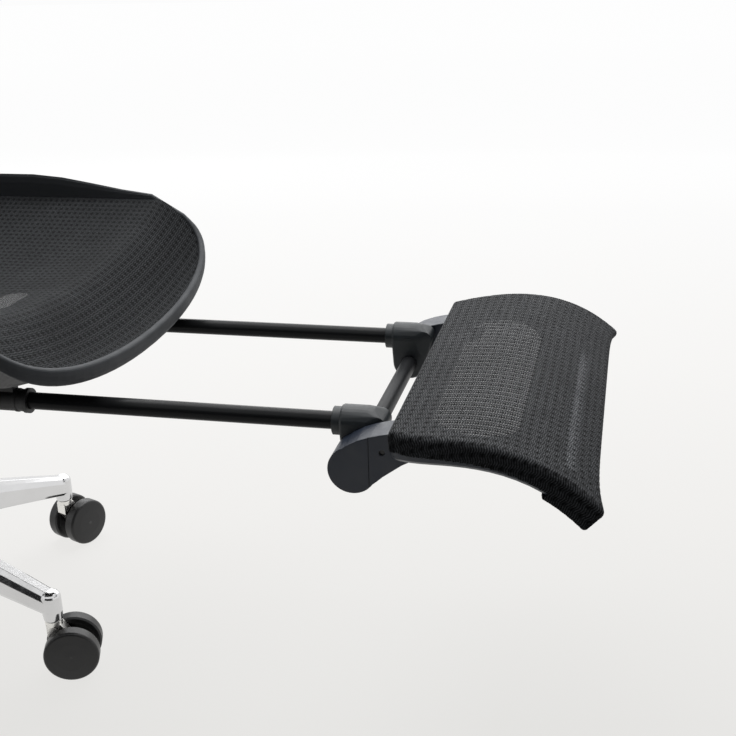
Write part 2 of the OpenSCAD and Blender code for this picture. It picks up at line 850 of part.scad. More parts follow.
function seat_path(grow) = concat(
    [for (i = [0 : n_front - 1]) let (a = -90 + 180 * i / n_front)
        [(seat_half + grow) * sign(sin(a)) * pow(abs(sin(a)), front_square_share),
         -seat_front + seat_bow - (seat_bow + grow) * pow(cos(a), front_square_share)]],
    [for (i = [0 : n_side - 1])
        [seat_half + grow, mix(-seat_front + seat_bow, seat_rear - rear_bow, i / n_side)]],
    [for (i = [0 : n_rear - 1]) let (a = 90 - 180 * i / n_rear)
        [(seat_half + grow) * sin(a), seat_rear - rear_bow + (rear_bow + grow) * cos(a)]],
    [for (i = [0 : n_side - 1])
        [-seat_half - grow, mix(seat_rear - rear_bow, -seat_front + seat_bow, i / n_side)]]
);
seat_edge = seat_path(0);
seat_out = outward(seat_edge);

function seat_line_z(p) =
    rod_z + seat_front_up + seat_rise * smooth((p[1] + seat_front) / seat_rise_len)
    + seat_wing * pow(p[0] / seat_half, 2);
function rim_top(p) =
    rim_up + (rim_side_up - rim_up) * smooth((p[1] - rim_wall_start) / rim_wall_len)
    * smooth((abs(p[0]) / seat_half - 0.45) / 0.5);

module seat_rim() {
    color([0.29, 0.3, 0.31]) ring_loft([
        for (i = [len(seat_edge) - 1 : -1 : 0])
            let (p = seat_edge[i], o = seat_out[i], z = seat_line_z(p), up = rim_top(p))
            [for (q = rim_shares)
                [p[0] + o[0] * q[0] * rim_w, p[1] + o[1] * q[0] * rim_w,
                 z + q[1] * (q[1] > 0 ? up : rim_drop)]]
    ]);
}

function mesh_z(p, rho) = seat_line_z(p) - seat_sag * (1 - rho * rho);
function shrink(p, rho) = [p[0] * rho, seat_mid_y + (p[1] - seat_mid_y) * rho];

module seat_mesh() {
    edge = reversed(seat_path(mesh_tuck));
    rho = [for (k = [0 : mesh_rings - 1]) 1 - k / mesh_rings];
    top = [for (r = rho) [for (p = edge) let (q = shrink(p, r)) [q[0], q[1], mesh_z(q, r)]]];
    low = [for (ring = top) [for (p = ring) p - [0, 0, mesh_t]]];
    mid = [0, seat_mid_y, mesh_z([0, seat_mid_y], 0)];
    color([0.2, 0.2, 0.21]) sheet(top, mid, low, mid - [0, 0, mesh_t]);
}

function pan_z(p, rho) =
    mix(seat_line_z(p) - pan_under_share * rim_drop, rod_z + pan_up + pan_t,
        smooth((1 - rho) / pan_edge_share));

module seat_pan() {
    edge = reversed(seat_path(-pan_edge_clear));
    rho = [1, 0.94, 0.88, 0.81, 0.73, 1 - pan_edge_share];
    top = [for (r = rho) [for (p = edge) let (q = shrink(p, r)) [q[0], q[1], pan_z(shrink(p, 1), r)]]];
    low = [for (ring = top) [for (p = ring) p - [0, 0, pan_t]]];
    mid = [0, seat_mid_y, rod_z + pan_up + pan_t];
    channel_h = rod_z + pan_up - mech_top - 2 * cut_over;
    color([0.14, 0.14, 0.14]) {
        difference() {
            union() {
                sheet(top, mid, low, mid - [0, 0, pan_t]);
                for (s = [-1, 1])
                    translate([s * rail_at, channel_front, mech_top + 2 * cut_over])
                        translate([-rail_w / 2 - channel_wall, 0, 0])
                            cube([rail_w + 2 * channel_wall, channel_len, channel_h + pan_t / 2]);
            }
            for (s = [-1, 1])
                translate([s * rail_at, channel_front + channel_len + cut_over, mech_top]) rotate([90, 0, 0])
                    linear_extrude(channel_len + 2 * cut_over) rail_profile(slide_fit);
            for (s = [-1, 1])
                translate([s * pan_slot_at[0], pan_slot_at[1], rod_z]) linear_extrude(2 * pan_up)
                    rounded_rect(pan_slot_len, pan_slot_w, pan_slot_w / 2 - run_fit);
        }
    }
}

// Push button under the seat's left side that frees the seat's slide
button_z = rod_z + pan_up - button_t - slide_fit;
module seat_depth_button() {
    color([0.1, 0.1, 0.1]) translate([rod_x + guide_d, mech_front, button_z]) {
        translate([0, -button_w / 2, 0]) cube([button_reach, button_w, button_t]);
    }
}

// Footrest slide

module footrest_guides() {
    color([0.09, 0.09, 0.09]) both_sides() difference() {
        union() {
            translate([rod_x, guide_rear, rod_z]) rotate([90, 0, 0]) cylinder(h = guide_len, d = guide_d);
            translate([rod_x, guide_front + guide_ring_w, rod_z]) rotate([90, 0, 0])
                cylinder(h = guide_ring_w, d = guide_d + guide_ring_up);
            translate([rod_x, guide_front + guide_ring_at, rod_z]) rotate([90, 0, 0])
                cylinder(h = guide_ring_w / 2, d = guide_d + guide_ring_up / 2);
            for (y = [guide_front + guide_web_len, guide_rear - guide_web_len / 2])
                translate([rod_x - guide_web_w / 2, y - guide_web_len / 2, rod_z])
                    cube([guide_web_w, guide_web_len, pan_up]);
        }
        translate([rod_x, guide_rear + cut_over, rod_z]) rotate([90, 0, 0])
            cylinder(h = guide_len + 2 * cut_over, d = rod_d + 2 * run_fit);
    }
}

module footrest_rods() {
    color([0.12, 0.12, 0.13]) both_sides() difference() {
        translate([rod_x, rod_rear, rod_z]) rotate([90, 0, 0])
            cylinder(h = rod_rear + elbow_reach + rod_in_elbow, d = rod_d);
        translate([rod_x, rod_rear + cut_over, rod_z]) rotate([90, 0, 0])
            cylinder(h = rod_rear + elbow_reach + rod_in_elbow + 2 * cut_over, d = rod_d - 2 * rod_wall);
    }
}

module footrest_rod_stops() {
    color([0.05, 0.05, 0.05]) both_sides() translate([rod_x, rod_rear, rod_z]) rotate([90, 0, 0]) {
        difference() {
            translate([0, 0, -cut_over]) cylinder(h = stop_len + cut_over, d = stop_d);
            cylinder(h = stop_len + cut_over, d = rod_d);
        }
        translate([0, 0, -cut_over / 2]) cylinder(h = stop_spigot, d = rod_d - 2 * rod_wall);
    }
}

module footrest_elbow() {
    back_y = -elbow_reach;
    color([0.17, 0.18, 0.19]) difference() {
        union() {
            translate([rod_x, back_y, rod_z]) rotate([90, 0, 0])
                cylinder(h = elbow_collar_len + cut_over, d = elbow_collar_d);
            hull() {
                translate([rod_x, back_y - elbow_collar_len, rod_z]) rotate([90, 0, 0])
                    cylinder(h = elbow_len - elbow_r / 2, r = elbow_r - cut_over / 2, $fn = elbow_fn);
                translate([rod_x, back_y - elbow_collar_len - cut_over, rod_z]) rotate([90, 0, 0])
                    cylinder(h = elbow_len - elbow_r, r = elbow_r, $fn = elbow_fn);
                translate([rod_x, cross_y, cross_z]) rotate([0, 90, 0])
                    cylinder(h = elbow_w, r = elbow_foot_r - cut_over, center = true, $fn = elbow_fn);
                translate([rod_x, cross_y, cross_z]) rotate([0, 90, 0])
                    cylinder(h = elbow_w - 2 * cut_over, r = elbow_foot_r, center = true, $fn = elbow_fn);
                translate([rod_x, back_y - elbow_nose[0] + elbow_nose_r, rod_z + elbow_nose[1]])
                    rotate([0, 90, 0])
                    cylinder(h = elbow_w - 4 * cut_over, r = elbow_nose_r, center = true, $fn = elbow_fn);
            }
        }
        // Split line of the clamp, low on the collar's outer side
        translate([rod_x, back_y, rod_z]) rotate([0, -elbow_split_turn, 0])
            translate([0, -elbow_collar_len / 2, -elbow_collar_d / 2])
                cube([elbow_split_w, elbow_collar_len + cut_over, 2 * elbow_split_deep], center = true);
        translate([rod_x, back_y + cut_over, rod_z]) rotate([90, 0, 0])
            cylinder(h = rod_in_elbow + cut_over, d = rod_d);
        translate([rod_x, cross_y, cross_z]) rotate([0, 90, 0])
            cylinder(h = elbow_w + 2 * cut_over, d = cross_d, center = true);
    }
}

module footrest_cross_tube() {
    len_x = 2 * (arm_out_x - cross_tube_end);
    color([0.45, 0.46, 0.48]) translate([0, cross_y, cross_z]) rotate([0, 90, 0]) difference() {
        cylinder(h = len_x, d = cross_d, center = true);
        cylinder(h = len_x + 2 * cut_over, d = cross_d - 2 * cross_wall, center = true);
        rotate([0, 0, groove_turn]) translate([cross_d / 2, 0, 0])
            cube([2 * groove_deep, groove_w, rod_gap - elbow_w], center = true);
    }
}

// Footrest pad: points along its curve, and a body whose skin is drawn in by some amount

function bez(a, b, c, d, t) =
    a * pow(1 - t, 3) + b * 3 * t * pow(1 - t, 2) + c * 3 * t * t * (1 - t) + d * pow(t, 3);
function pad_at(t) = bez(
    [pad_in_y, pad_in_z], [pad_in_y - pad_in_handle[0], pad_in_z + pad_in_handle[1]],
    [pad_out_y + pad_out_handle[0], pad_out_z + pad_out_handle[1]], [pad_out_y, pad_out_z], t);
function pad_dir(t) = unit(pad_at(min(1, t + 0.01)) - pad_at(max(0, t - 0.01)));
function pad_half(t) = mix(pad_in_w, pad_out_w, pow(max(0, t), pad_flare_share)) / 2;

// One cross-section: inset draws the skin in, deep is the depth below the top
function pad_ring(t, inset, deep, end_cut) =
    let (c = pad_at(t), d = pad_dir(t), n = [d[1], -d[0]],
         h = pad_half(t) - inset, r = pad_round, top = -inset - end_cut, low = -deep + inset + end_cut)
    [for (q = concat(
        [for (a = [0 : 30 : 90]) [h - r + r * cos(a), top - r + r * sin(a)]],
        [[h / 2, top], [0, top], [-h / 2, top]],
        [for (a = [90 : 30 : 180]) [-h + r + r * cos(a), top - r + r * sin(a)]],
        [[-h, low + r / 2], [-h + r / 2, low], [-h / 2, low], [0, low]],
        [[h / 2, low], [h - r / 2, low], [h, low + r / 2]]
     ))
        let (pull = -pad_corner_pull * pow(t, 4) * (1 - pow(min(1, abs(q[0]) / h), pad_corner_power)))
        [-q[0], c[0] + n[0] * q[1] + d[0] * pull, c[1] + n[1] * q[1] + d[1] * pull]
    ];

// t runs a little short of the ends when the skin is drawn in
module pad_body(inset, deep, tip_deep = 0) {
    deep_end = tip_deep > 0 ? tip_deep : deep;
    cut = inset / pad_len;
    t0 = cut;
    t1 = 1 - cut;
    steps = concat([0], pad_end_steps, [for (i = [1 : pad_stations - 2]) i / (pad_stations - 1)],
        [for (s = reversed(pad_end_steps)) 1 - s], [1]);
    near_end = 2 * pad_end_steps[0];
    loft([
        for (s = steps)
            let (cut_share = (s == 0 || s == 1) ? pad_end_shares[0]
                : (s < near_end || s > 1 - near_end) ? pad_end_shares[1] : 0)
            pad_ring(mix(t0, t1, s), inset, mix(deep, deep_end, s), pad_round * cut_share)
    ]);
}

// Vertical prism over part of the pad, between two shares of its length
module pad_window(t0, t1, side0, side1, r) {
    a = pad_at(t0);
    b = pad_at(t1);
    translate([0, 0, pad_out_z - 2 * pad_t]) linear_extrude(4 * pad_t + pad_in_z - pad_out_z) hull() {
        for (s = [-1, 1]) {
            translate([s * (pad_half(t0) - side0 - r), a[0] - r]) circle(r, $fn = elbow_fn);
            translate([s * (pad_half(t1) - side1 - r), b[0] + r]) circle(r, $fn = elbow_fn);
        }
    }
}

module footrest_frame() {
    inset = sleeve_t + skin_gap;
    slot_half = pad_slot_w / 2 / pad_len;
    color([0.07, 0.07, 0.07]) difference() {
        pad_body(inset, pad_t, pad_tip_t);
        // Hollow underside inside the lip
        translate([0, 0, -pad_plate_t]) pad_body(inset + pad_lip_w, 2 * pad_t);
        pad_window(pad_open_shares[0], pad_open_shares[1], pad_open_side, pad_open_side, pad_open_round);
        pad_window(pad_slot_share - slot_half, pad_slot_share + slot_half,
            pad_slot_side, pad_slot_side, pad_slot_w / 2 - cut_over / 2);
    }
}

// A pocket round the outer end, and a cover that ends higher along the sides
module footrest_mesh() {
    tip_y = pad_at(pad_tip_share)[0];
    color([0.17, 0.17, 0.18]) difference() {
        pad_body(0, pad_t + sleeve_t, pad_tip_t + sleeve_t);
        pad_body(sleeve_t, pad_t + pad_wrap_clear, pad_tip_t + pad_wrap_clear);
        intersection() {
            translate([0, 0, -sleeve_drop]) pad_body(-2 * sleeve_t, 2 * pad_t);
            translate([-pad_out_w, tip_y, pad_out_z - 3 * pad_t]) cube([2 * pad_out_w, pad_len, 6 * pad_t]);
        }
    }
}

module arm_outline() {
    translate([cross_y, cross_z]) {
        circle(hub_r);
        polygon([for (q = concat([[0.9, 0.42]], arm_top_shares, arm_low_shares,
            [[arm_hub_drop_shares[0], arm_hub_drop_shares[1]]])) q * hub_r]);
    }
}

module footrest_arm() {
    mid_x = (arm_in_x + arm_out_x) / 2;
    color([0.2, 0.21, 0.24]) difference() {
        translate([arm_in_x, 0, 0]) rotate([90, 0, 90]) linear_extrude(arm_t) arm_outline();
        pad_body(-skin_gap, sleeve_drop + skin_gap);
        pad_body(sleeve_t, pad_t + skin_gap, pad_tip_t + skin_gap);
        translate([arm_out_x - groove_deep, cross_y + arm_line_share * hub_r, cross_z - hub_r])
            cube([2 * groove_deep, groove_deep, 4 * hub_r]);
        translate([mid_x, cross_y, cross_z]) rotate([0, 90, 0])
            cylinder(h = arm_t - 2 * cross_tube_end + 2 * run_fit, d = cross_d + 2 * run_fit, center = true);
        translate([arm_in_x + arm_t / 2 - cross_tube_end, cross_y, cross_z]) rotate([0, 90, 0])
            cylinder(h = arm_t - cross_tube_end, d = cross_d + 2 * run_fit, center = true);
        translate([arm_out_x - screw_deep, screw_y, screw_z])
            rotate([0, 90, 0]) cylinder(h = screw_deep + cut_over, d = screw_d);
    }
}

module footrest_screws() {
    color("black") both_sides()
        translate([arm_out_x - screw_deep, screw_y, screw_z])
            rotate([0, 90, 0]) cylinder(h = screw_head, d = screw_d - 2 * run_fit);
}

// Back: everything is drawn upright round the tilt axle and then leant back

module leant() {
    translate([0, tilt_back, tilt_z]) rotate([-back_lean, 0, 0]) children();
}

function back_surface(x, v) =
    let (s = (v - back_low) / back_h)
    back_in + back_top_sweep * s * s - lumbar_bulge * sin(180 * min(1, max(0, s * 1.5)))
    - back_wrap * pow(x / (back_w / 2), 2);
function back_half(s) = back_w / 2 * (1 - (1 - back_low_share) * pow(max(0, 1 - s * 2.2), 2)
    - (1 - back_top_share) * pow(max(0, (s - 0.5) * 2), 2));

// The mesh's edge in front view: across and up
back_edge = concat(
    [for (i = [0 : n_back_low - 1]) let (a = -90 + 180 * i / n_back_low)
        [back_half(back_bow_low / back_h) * sin(a), back_low + back_bow_low * (1 - cos(a))]],
    [for (i = [0 : n_back_side - 1])
        let (v = mix(back_low + back_bow_low, back_low + back_h - back_bow_top, i / n_back_side))
        [back_half((v - back_low) / back_h), v]],
    [for (i = [0 : n_back_top - 1]) let (a = 90 - 180 * i / n_back_top)
        [back_half(1 - back_bow_top / back_h) * sin(a), back_low + back_h - back_bow_top * (1 - cos(a))]],
    [for (i = [0 : n_back_side - 1])
        let (v = mix(back_low + back_h - back_bow_top, back_low + back_bow_low, i / n_back_side))
        [-back_half((v - back_low) / back_h), v]]
);
back_out = outward(back_edge);
back_mid_v = back_low + back_h / 2;
function at_back(p, off) = [p[0], back_surface(p[0], p[1]) + off, p[1]];

module rib() {
    half = back_half((rib_up - back_low) / back_h);
    loft([
        for (i = [0 : rib_stations - 1])
            let (x = mix(-half - back_rim_w / 3, half + back_rim_w / 3, i / (rib_stations - 1)),
                 e = pow(x / half, 2),
                 y = mix(spine_in - rib_t - slide_fit, back_surface(half, rib_up), min(1, e)))
            [[x, y, rib_up - rib_h / 2], [x, y, rib_up + rib_h / 2],
             [x, y + rib_t, rib_up + rib_h / 2], [x, y + rib_t, rib_up - rib_h / 2]]
    ]);
}

module back_frame() {
    n = len(back_edge);
    flat = spine_in - slide_fit;
    color([0.12, 0.12, 0.13]) leant() difference() {
        union() {
            ring_loft([
                for (i = [0 : n - 1])
                    let (p = back_edge[n - 1 - i], o = back_out[n - 1 - i])
                    [for (q = back_rim_shares) let (u = p + o * q[0] * back_rim_w)
                        at_back(p, q[1] * back_rim_w) + [u[0] - p[0], 0, u[1] - p[1]]]
            ]);
            rib();
            // Flat landing for the spine behind the rib
            translate([0, flat - rib_t / 2, rib_up]) cube([spine_w, rib_t, rib_h], center = true);
            // Tab at the foot, back to the spine
            translate([-tab_w / 2, back_in - back_rim_w / 2, tab_up - tab_h])
                cube([tab_w, flat - back_in + back_rim_w / 2, tab_h]);
            // Socket for the headrest's stem
            translate([-socket_w / 2, head_stem_in - (socket_t - head_stem_t) / 2, socket_up])
                cube([socket_w, socket_t, socket_h]);
        }
        translate([-head_stem_w / 2 - slide_fit, head_stem_in - slide_fit, socket_up - cut_over])
            cube([head_stem_w + 2 * slide_fit, head_stem_t + 2 * slide_fit, socket_h + back_rim_w]);
    }
}

module back_mesh() {
    n = len(back_edge);
    edge = [for (i = [0 : n - 1]) back_edge[n - 1 - i] + back_out[n - 1 - i] * back_mesh_tuck];
    rho = [for (k = [0 : back_mesh_rings - 1]) 1 - k / back_mesh_rings];
    front = [for (r = rho) [for (p = edge)
        let (q = [p[0] * r, back_mid_v + (p[1] - back_mid_v) * r]) at_back(q, 0)]];
    rear = [for (ring = front) [for (p = ring) p + [0, mesh_t, 0]]];
    mid = at_back([0, back_mid_v], 0);
    color([0.2, 0.2, 0.21]) leant() sheet(front, mid, rear, mid + [0, mesh_t, 0]);
}

ear_in_x = mech_w / 2 + ear_clear;
module back_bracket() {
    color([0.11, 0.11, 0.12]) leant() difference() {
        union() {
            for (s = [-1, 1]) across(ear_t, s * (ear_in_x + ear_t / 2)) {
                circle(ear_r);
                translate([0, -ear_r]) square([spine_foot[0] + ear_r, 2 * ear_r]);
            }
            translate([-ear_in_x - ear_t, spine_foot[0] + ear_clear, -ear_r])
                cube([2 * (ear_in_x + ear_t), ear_r, 2 * ear_r]);
            across(spine_w) polygon([
                [spine_foot[0] + ear_clear, -ear_r], [spine_foot[0] + ear_clear + ear_r, -ear_r],
                [spine_in + 1.9 * spine_t, spine_foot[1] + ear_r], [spine_in + 2 * spine_t, spine_low * 0.6],
                [spine_in + spine_t, spine_low * 1.35], [spine_in + spine_t, spine_top], [spine_in, spine_top],
                [spine_in, spine_low * 1.25], [spine_in + 0.9 * spine_t, spine_low * 0.5],
                [spine_foot[0] + ear_clear, ear_r]
            ]);
        }
        rotate([0, 90, 0])
            cylinder(h = 2 * (ear_in_x + ear_t) + 2 * cut_over, d = tilt_axle_d + 2 * run_fit, center = true);
        for (v = [tab_up - tab_h / 2, rib_up]) for (s = [-1, 1])
            translate([s * spine_w / 4, spine_in - cut_over, v]) rotate([-90, 0, 0])
                cylinder(h = spine_t + 2 * cut_over, d = back_screw_d);
    }
}

module back_screws() {
    color("dimgray") leant() for (v = [tab_up - tab_h / 2, rib_up]) for (s = [-1, 1])
        translate([s * spine_w / 4, spine_in, v]) rotate([-90, 0, 0]) {
            cylinder(h = spine_t, d = back_screw_d);
            translate([0, 0, spine_t]) cylinder(h = screw_head_t, d = screw_head_d);
        }
}

module lumbar_support() {
    rows = 5;
    cols = 11;
    inner = spine_w / 2 + slide_fit;
    color([0.15, 0.15, 0.16]) leant() {
        loft([
            for (i = [0 : cols - 1])
                let (x = mix(-lumbar_w / 2, lumbar_w / 2, i / (cols - 1)),
                     e = 1 - 0.35 * pow(abs(2 * x / lumbar_w), 3))
                concat(
                    [for (j = [0 : rows - 1]) let (v = lumbar_up + lumbar_h * e * (j / (rows - 1) - 0.5))
                        [x, back_surface(x, v) + mesh_t + lumbar_gap, v]],
                    [for (j = [rows - 1 : -1 : 0]) let (v = lumbar_up + lumbar_h * e * (j / (rows - 1) - 0.5))
                        [x, back_surface(x, v) + mesh_t + lumbar_gap + lumbar_t, v]]
                )
        ]);
        difference() {
            front = back_surface(0, lumbar_up) + mesh_t + lumbar_gap + lumbar_t / 2;
            translate([-inner - lumbar_clamp, front, lumbar_up - lumbar_clamp_h / 2])
                cube([2 * (inner + lumbar_clamp), spine_in + spine_t + lumbar_clamp - front, lumbar_clamp_h]);
            translate([-inner, spine_in - slide_fit, lumbar_up - lumbar_clamp_h])
                cube([2 * inner, spine_t + 2 * slide_fit, 2 * lumbar_clamp_h]);
        }
    }
}

// Headrest

module headrest_stem() {
    color([0.13, 0.13, 0.14]) leant() {
        translate([-head_stem_w / 2, head_stem_in, head_stem_low])
            cube([head_stem_w, head_stem_t, head_stem_len]);
        translate([0, head_stem_in + head_stem_t / 2, head_up]) rotate([0, 90, 0]) {
            cylinder(h = head_pivot_w, d = head_pivot_d, center = true);
            cylinder(h = head_stem_w, d = 1.6 * head_pivot_d, center = true);
        }
    }
}

head_pivot_in = head_stem_in + head_stem_t / 2;
head_mid_v = head_up + head_pivot_d / 2;
function head_surface(x) = head_front_in - head_wrap * pow(2 * x / head_w, 2);
head_edge = [
    for (i = [0 : n_head - 1]) let (a = 360 * i / n_head - 90, c = cos(a), s = sin(a))
        [head_w / 2 * sign(c) * pow(abs(c), 0.6), head_mid_v + head_h / 2 * sign(s) * pow(abs(s), 0.7)]
];
head_out = outward(head_edge);

module headrest_frame() {
    color([0.12, 0.12, 0.13]) leant() difference() {
        union() {
            ring_loft([
                for (i = [0 : n_head - 1])
                    let (p = head_edge[n_head - 1 - i], o = head_out[n_head - 1 - i])
                    [for (q = back_rim_shares)
                        [p[0] + o[0] * (q[0] - 0.2) * head_rim_w, head_surface(p[0]) + q[1] * head_rim_w,
                         p[1] + o[1] * (q[0] - 0.2) * head_rim_w]]
            ]);
            // Upright bar behind the mesh, with two lugs on the pivot
            translate([-head_pivot_w / 2, head_front_in + head_rim_w / 4, head_mid_v - head_h / 2])
                cube([head_pivot_w, head_rim_w / 4, head_h]);
            for (s = [-1, 1]) hull() {
                translate([s * (head_pivot_w - head_lug_w) / 2, head_pivot_in, head_up]) rotate([0, 90, 0])
                    cylinder(h = head_lug_w, r = head_lug_r, center = true, $fn = elbow_fn);
                translate([s * (head_pivot_w - head_lug_w) / 2 - head_lug_w / 2, head_front_in,
                           head_up - head_lug_r])
                    translate([0, head_rim_w / 4, 0])
                    cube([head_lug_w, head_rim_w / 8, 2 * head_lug_r]);
            }
        }
        translate([0, head_pivot_in, head_up]) rotate([0, 90, 0])
            cylinder(h = head_pivot_w + 2 * cut_over, d = head_pivot_d + 2 * run_fit, center = true);
    }
}

module headrest_mesh() {
    rho = [for (k = [0 : head_mesh_rings - 1]) 1 - k / head_mesh_rings];
    front = [for (r = rho) [for (i = [0 : n_head - 1])
        let (p = head_edge[n_head - 1 - i], q = [p[0] * r, head_mid_v + (p[1] - head_mid_v) * r])
        [q[0], head_surface(q[0]), q[1]]]];
    rear = [for (ring = front) [for (p = ring) p + [0, mesh_t, 0]]];
    mid = [0, head_front_in, head_mid_v];
    color([0.2, 0.2, 0.21]) leant() sheet(front, mid, rear, mid + [0, mesh_t, 0]);
}

// Armrests

module arm_brackets() {
    color([0.12, 0.12, 0.13]) both_sides() {
        // Plate from the housing's side, over the rod and out to the sleeve
        translate([mech_w / 2, bracket_y - bracket_w / 2, rod_z - bracket_up])
            cube([bracket_t, bracket_w, 2 * bracket_up + bracket_t]);
        translate([mech_w / 2, bracket_y - bracket_w / 2, rod_z + bracket_up])
            cube([arm_x - mech_w / 2, bracket_w, bracket_t]);
        translate([arm_x, bracket_y, sleeve_low]) difference() {
            linear_extrude(sleeve_h) rounded_rect(sleeve_w, sleeve_len, sleeve_corner);
            translate([0, 0, bracket_t]) linear_extrude(sleeve_h)
                rounded_rect(sleeve_w - 2 * sleeve_wall, sleeve_len - 2 * sleeve_wall,
                             sleeve_corner - sleeve_wall);
        }
    }
}

module arm_post() {
    in_w = sleeve_w - 2 * (sleeve_wall + slide_fit);
    in_l = sleeve_len - 2 * (sleeve_wall + slide_fit);
    low = sleeve_low + sleeve_h - post_insert;
    color([0.14, 0.14, 0.15]) difference() {
        union() {
            translate([arm_x, bracket_y, low]) linear_extrude(post_top - post_head_h - low)
                rounded_rect(in_w, in_l, sleeve_corner - sleeve_wall);
            translate([arm_x, bracket_y, post_top - post_head_h]) linear_extrude(post_head_h)
                rounded_rect(sleeve_w + 2 * sleeve_wall, sleeve_len + 2 * sleeve_wall, sleeve_corner);
            translate([arm_x, bracket_y, post_top]) cylinder(h = arm_base_t, d = arm_pivot_d);
        }
        // Seat of the release button, open to the outside
        translate([arm_x + sleeve_w / 2 + sleeve_wall - arm_button_t - arm_button_travel,
                   bracket_y - arm_button_w / 2 - slide_fit, post_top - post_head_h - cut_over])
            cube([2 * arm_button_t + arm_button_travel, arm_button_w + 2 * slide_fit,
                  post_head_h - cut_over / 2]);
    }
}

module arm_button() {
    color("dimgray")
        translate([arm_x + sleeve_w / 2 + sleeve_wall - arm_button_t, bracket_y - arm_button_w / 2,
                   post_top - post_head_h])
            cube([arm_button_t + cut_over, arm_button_w, post_head_h - 2 * cut_over]);
}

module arm_pad() {
    color([0.1, 0.1, 0.11]) difference() {
        translate([arm_x - arm_pad_in, arm_pad_y, 0]) {
            translate([0, 0, post_top + slide_fit]) linear_extrude(arm_base_t)
                rounded_rect(arm_pad_w - 2 * arm_base_t, arm_pad_len - 2 * arm_base_t,
                             arm_pad_corner - arm_base_t);
            translate([0, 0, post_top + slide_fit + arm_base_t]) hull() {
                linear_extrude(arm_pad_t * 0.6)
                    rounded_rect(arm_pad_w, arm_pad_len, arm_pad_corner, $fn = elbow_fn);
                linear_extrude(arm_pad_t) rounded_rect(arm_pad_w * 0.8, arm_pad_len - arm_pad_w * 0.2,
                    arm_pad_corner * 0.8, $fn = elbow_fn);
            }
        }
        translate([arm_x, bracket_y, post_top - cut_over])
            cylinder(h = arm_base_t + cut_over + slide_fit, d = arm_pivot_d + 2 * run_fit);
    }
}

star_base();
gas_outer_tube();
gas_guide_bush();
gas_thrust_bearing();
gas_piston_rod();
gas_cylinder();
gas_release_pin();
caster_fork(0);  // caster_1_fork
caster_fork(1);  // caster_2_fork
caster_fork(2);  // caster_3_fork
caster_fork(3);  // caster_4_fork
caster_fork(4);  // caster_5_fork
caster_wheel(0, 1);  // caster_1_wheel_left
caster_wheel(1, 1);  // caster_2_wheel_left
caster_wheel(2, 1);  // caster_3_wheel_left
caster_wheel(3, 1);  // caster_4_wheel_left
caster_wheel(4, 1);  // caster_5_wheel_left
caster_wheel(0, -1);  // caster_1_wheel_right
caster_wheel(1, -1);  // caster_2_wheel_right
caster_wheel(2, -1);  // caster_3_wheel_right
caster_wheel(3, -1);  // caster_4_wheel_right
caster_wheel(4, -1);  // caster_5_wheel_right
mechanism_housing();
mechanism_cover();
tilt_axle();
tilt_spring();
seat_rails();
height_lever();
tilt_lock_lever();
tension_knob();
seat_pan();
seat_rim();
seat_mesh();
seat_depth_button();
footrest_guides();
footrest_rods();
footrest_rod_stops();
footrest_elbow();  // footrest_elbow_left
mirror([1, 0, 0]) footrest_elbow();  // footrest_elbow_right
footrest_cross_tube();
footrest_arm();  // footrest_arm_left
mirror([1, 0, 0]) footrest_arm();  // footrest_arm_right
footrest_frame();
footrest_mesh();
footrest_screws();
back_bracket();
back_frame();
back_mesh();
back_screws();
lumbar_support();
headrest_stem();
headrest_frame();
headrest_mesh();
arm_brackets();
arm_post();  // arm_post_left
mirror([1, 0, 0]) arm_post();  // arm_post_right
arm_pad();  // arm_pad_left
mirror([1, 0, 0]) arm_pad();  // arm_pad_right
arm_button();  // arm_button_left
mirror([1, 0, 0]) arm_button();  // arm_button_right
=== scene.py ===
"""Reclining office chair, its footrest pulled out: looks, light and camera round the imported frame."""
import json
import math

import bpy
import numpy as np
from mathutils import Matrix, Vector


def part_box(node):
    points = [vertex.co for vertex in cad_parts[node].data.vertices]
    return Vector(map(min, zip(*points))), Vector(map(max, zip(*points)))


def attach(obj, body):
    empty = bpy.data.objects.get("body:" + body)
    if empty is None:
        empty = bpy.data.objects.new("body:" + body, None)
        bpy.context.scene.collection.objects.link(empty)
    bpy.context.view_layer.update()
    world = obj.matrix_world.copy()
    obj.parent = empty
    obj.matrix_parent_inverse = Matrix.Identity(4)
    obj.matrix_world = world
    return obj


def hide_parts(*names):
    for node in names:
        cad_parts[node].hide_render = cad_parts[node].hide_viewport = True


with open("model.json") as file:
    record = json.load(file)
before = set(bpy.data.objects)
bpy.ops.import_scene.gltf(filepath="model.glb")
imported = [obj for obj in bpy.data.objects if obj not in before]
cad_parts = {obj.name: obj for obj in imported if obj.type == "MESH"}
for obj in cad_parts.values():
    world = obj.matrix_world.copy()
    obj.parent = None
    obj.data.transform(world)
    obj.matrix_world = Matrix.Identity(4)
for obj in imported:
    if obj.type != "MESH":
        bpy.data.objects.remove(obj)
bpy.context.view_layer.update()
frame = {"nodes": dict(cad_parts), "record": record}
NODES = frame["nodes"]
MM = 0.001
SCENE = bpy.context.scene


# Shared maths

def mix(a, b, t):
    return a + (b - a) * t


def smooth(t):
    t = np.clip(t, 0.0, 1.0)
    return t * t * (3 - 2 * t)


def triangle_wave(t):
    """From -1 at whole numbers to 1 half-way between them, in straight runs."""
    t = t % 1.0
    return np.where(t < 0.5, 4 * t - 1, 3 - 4 * t)


# Materials

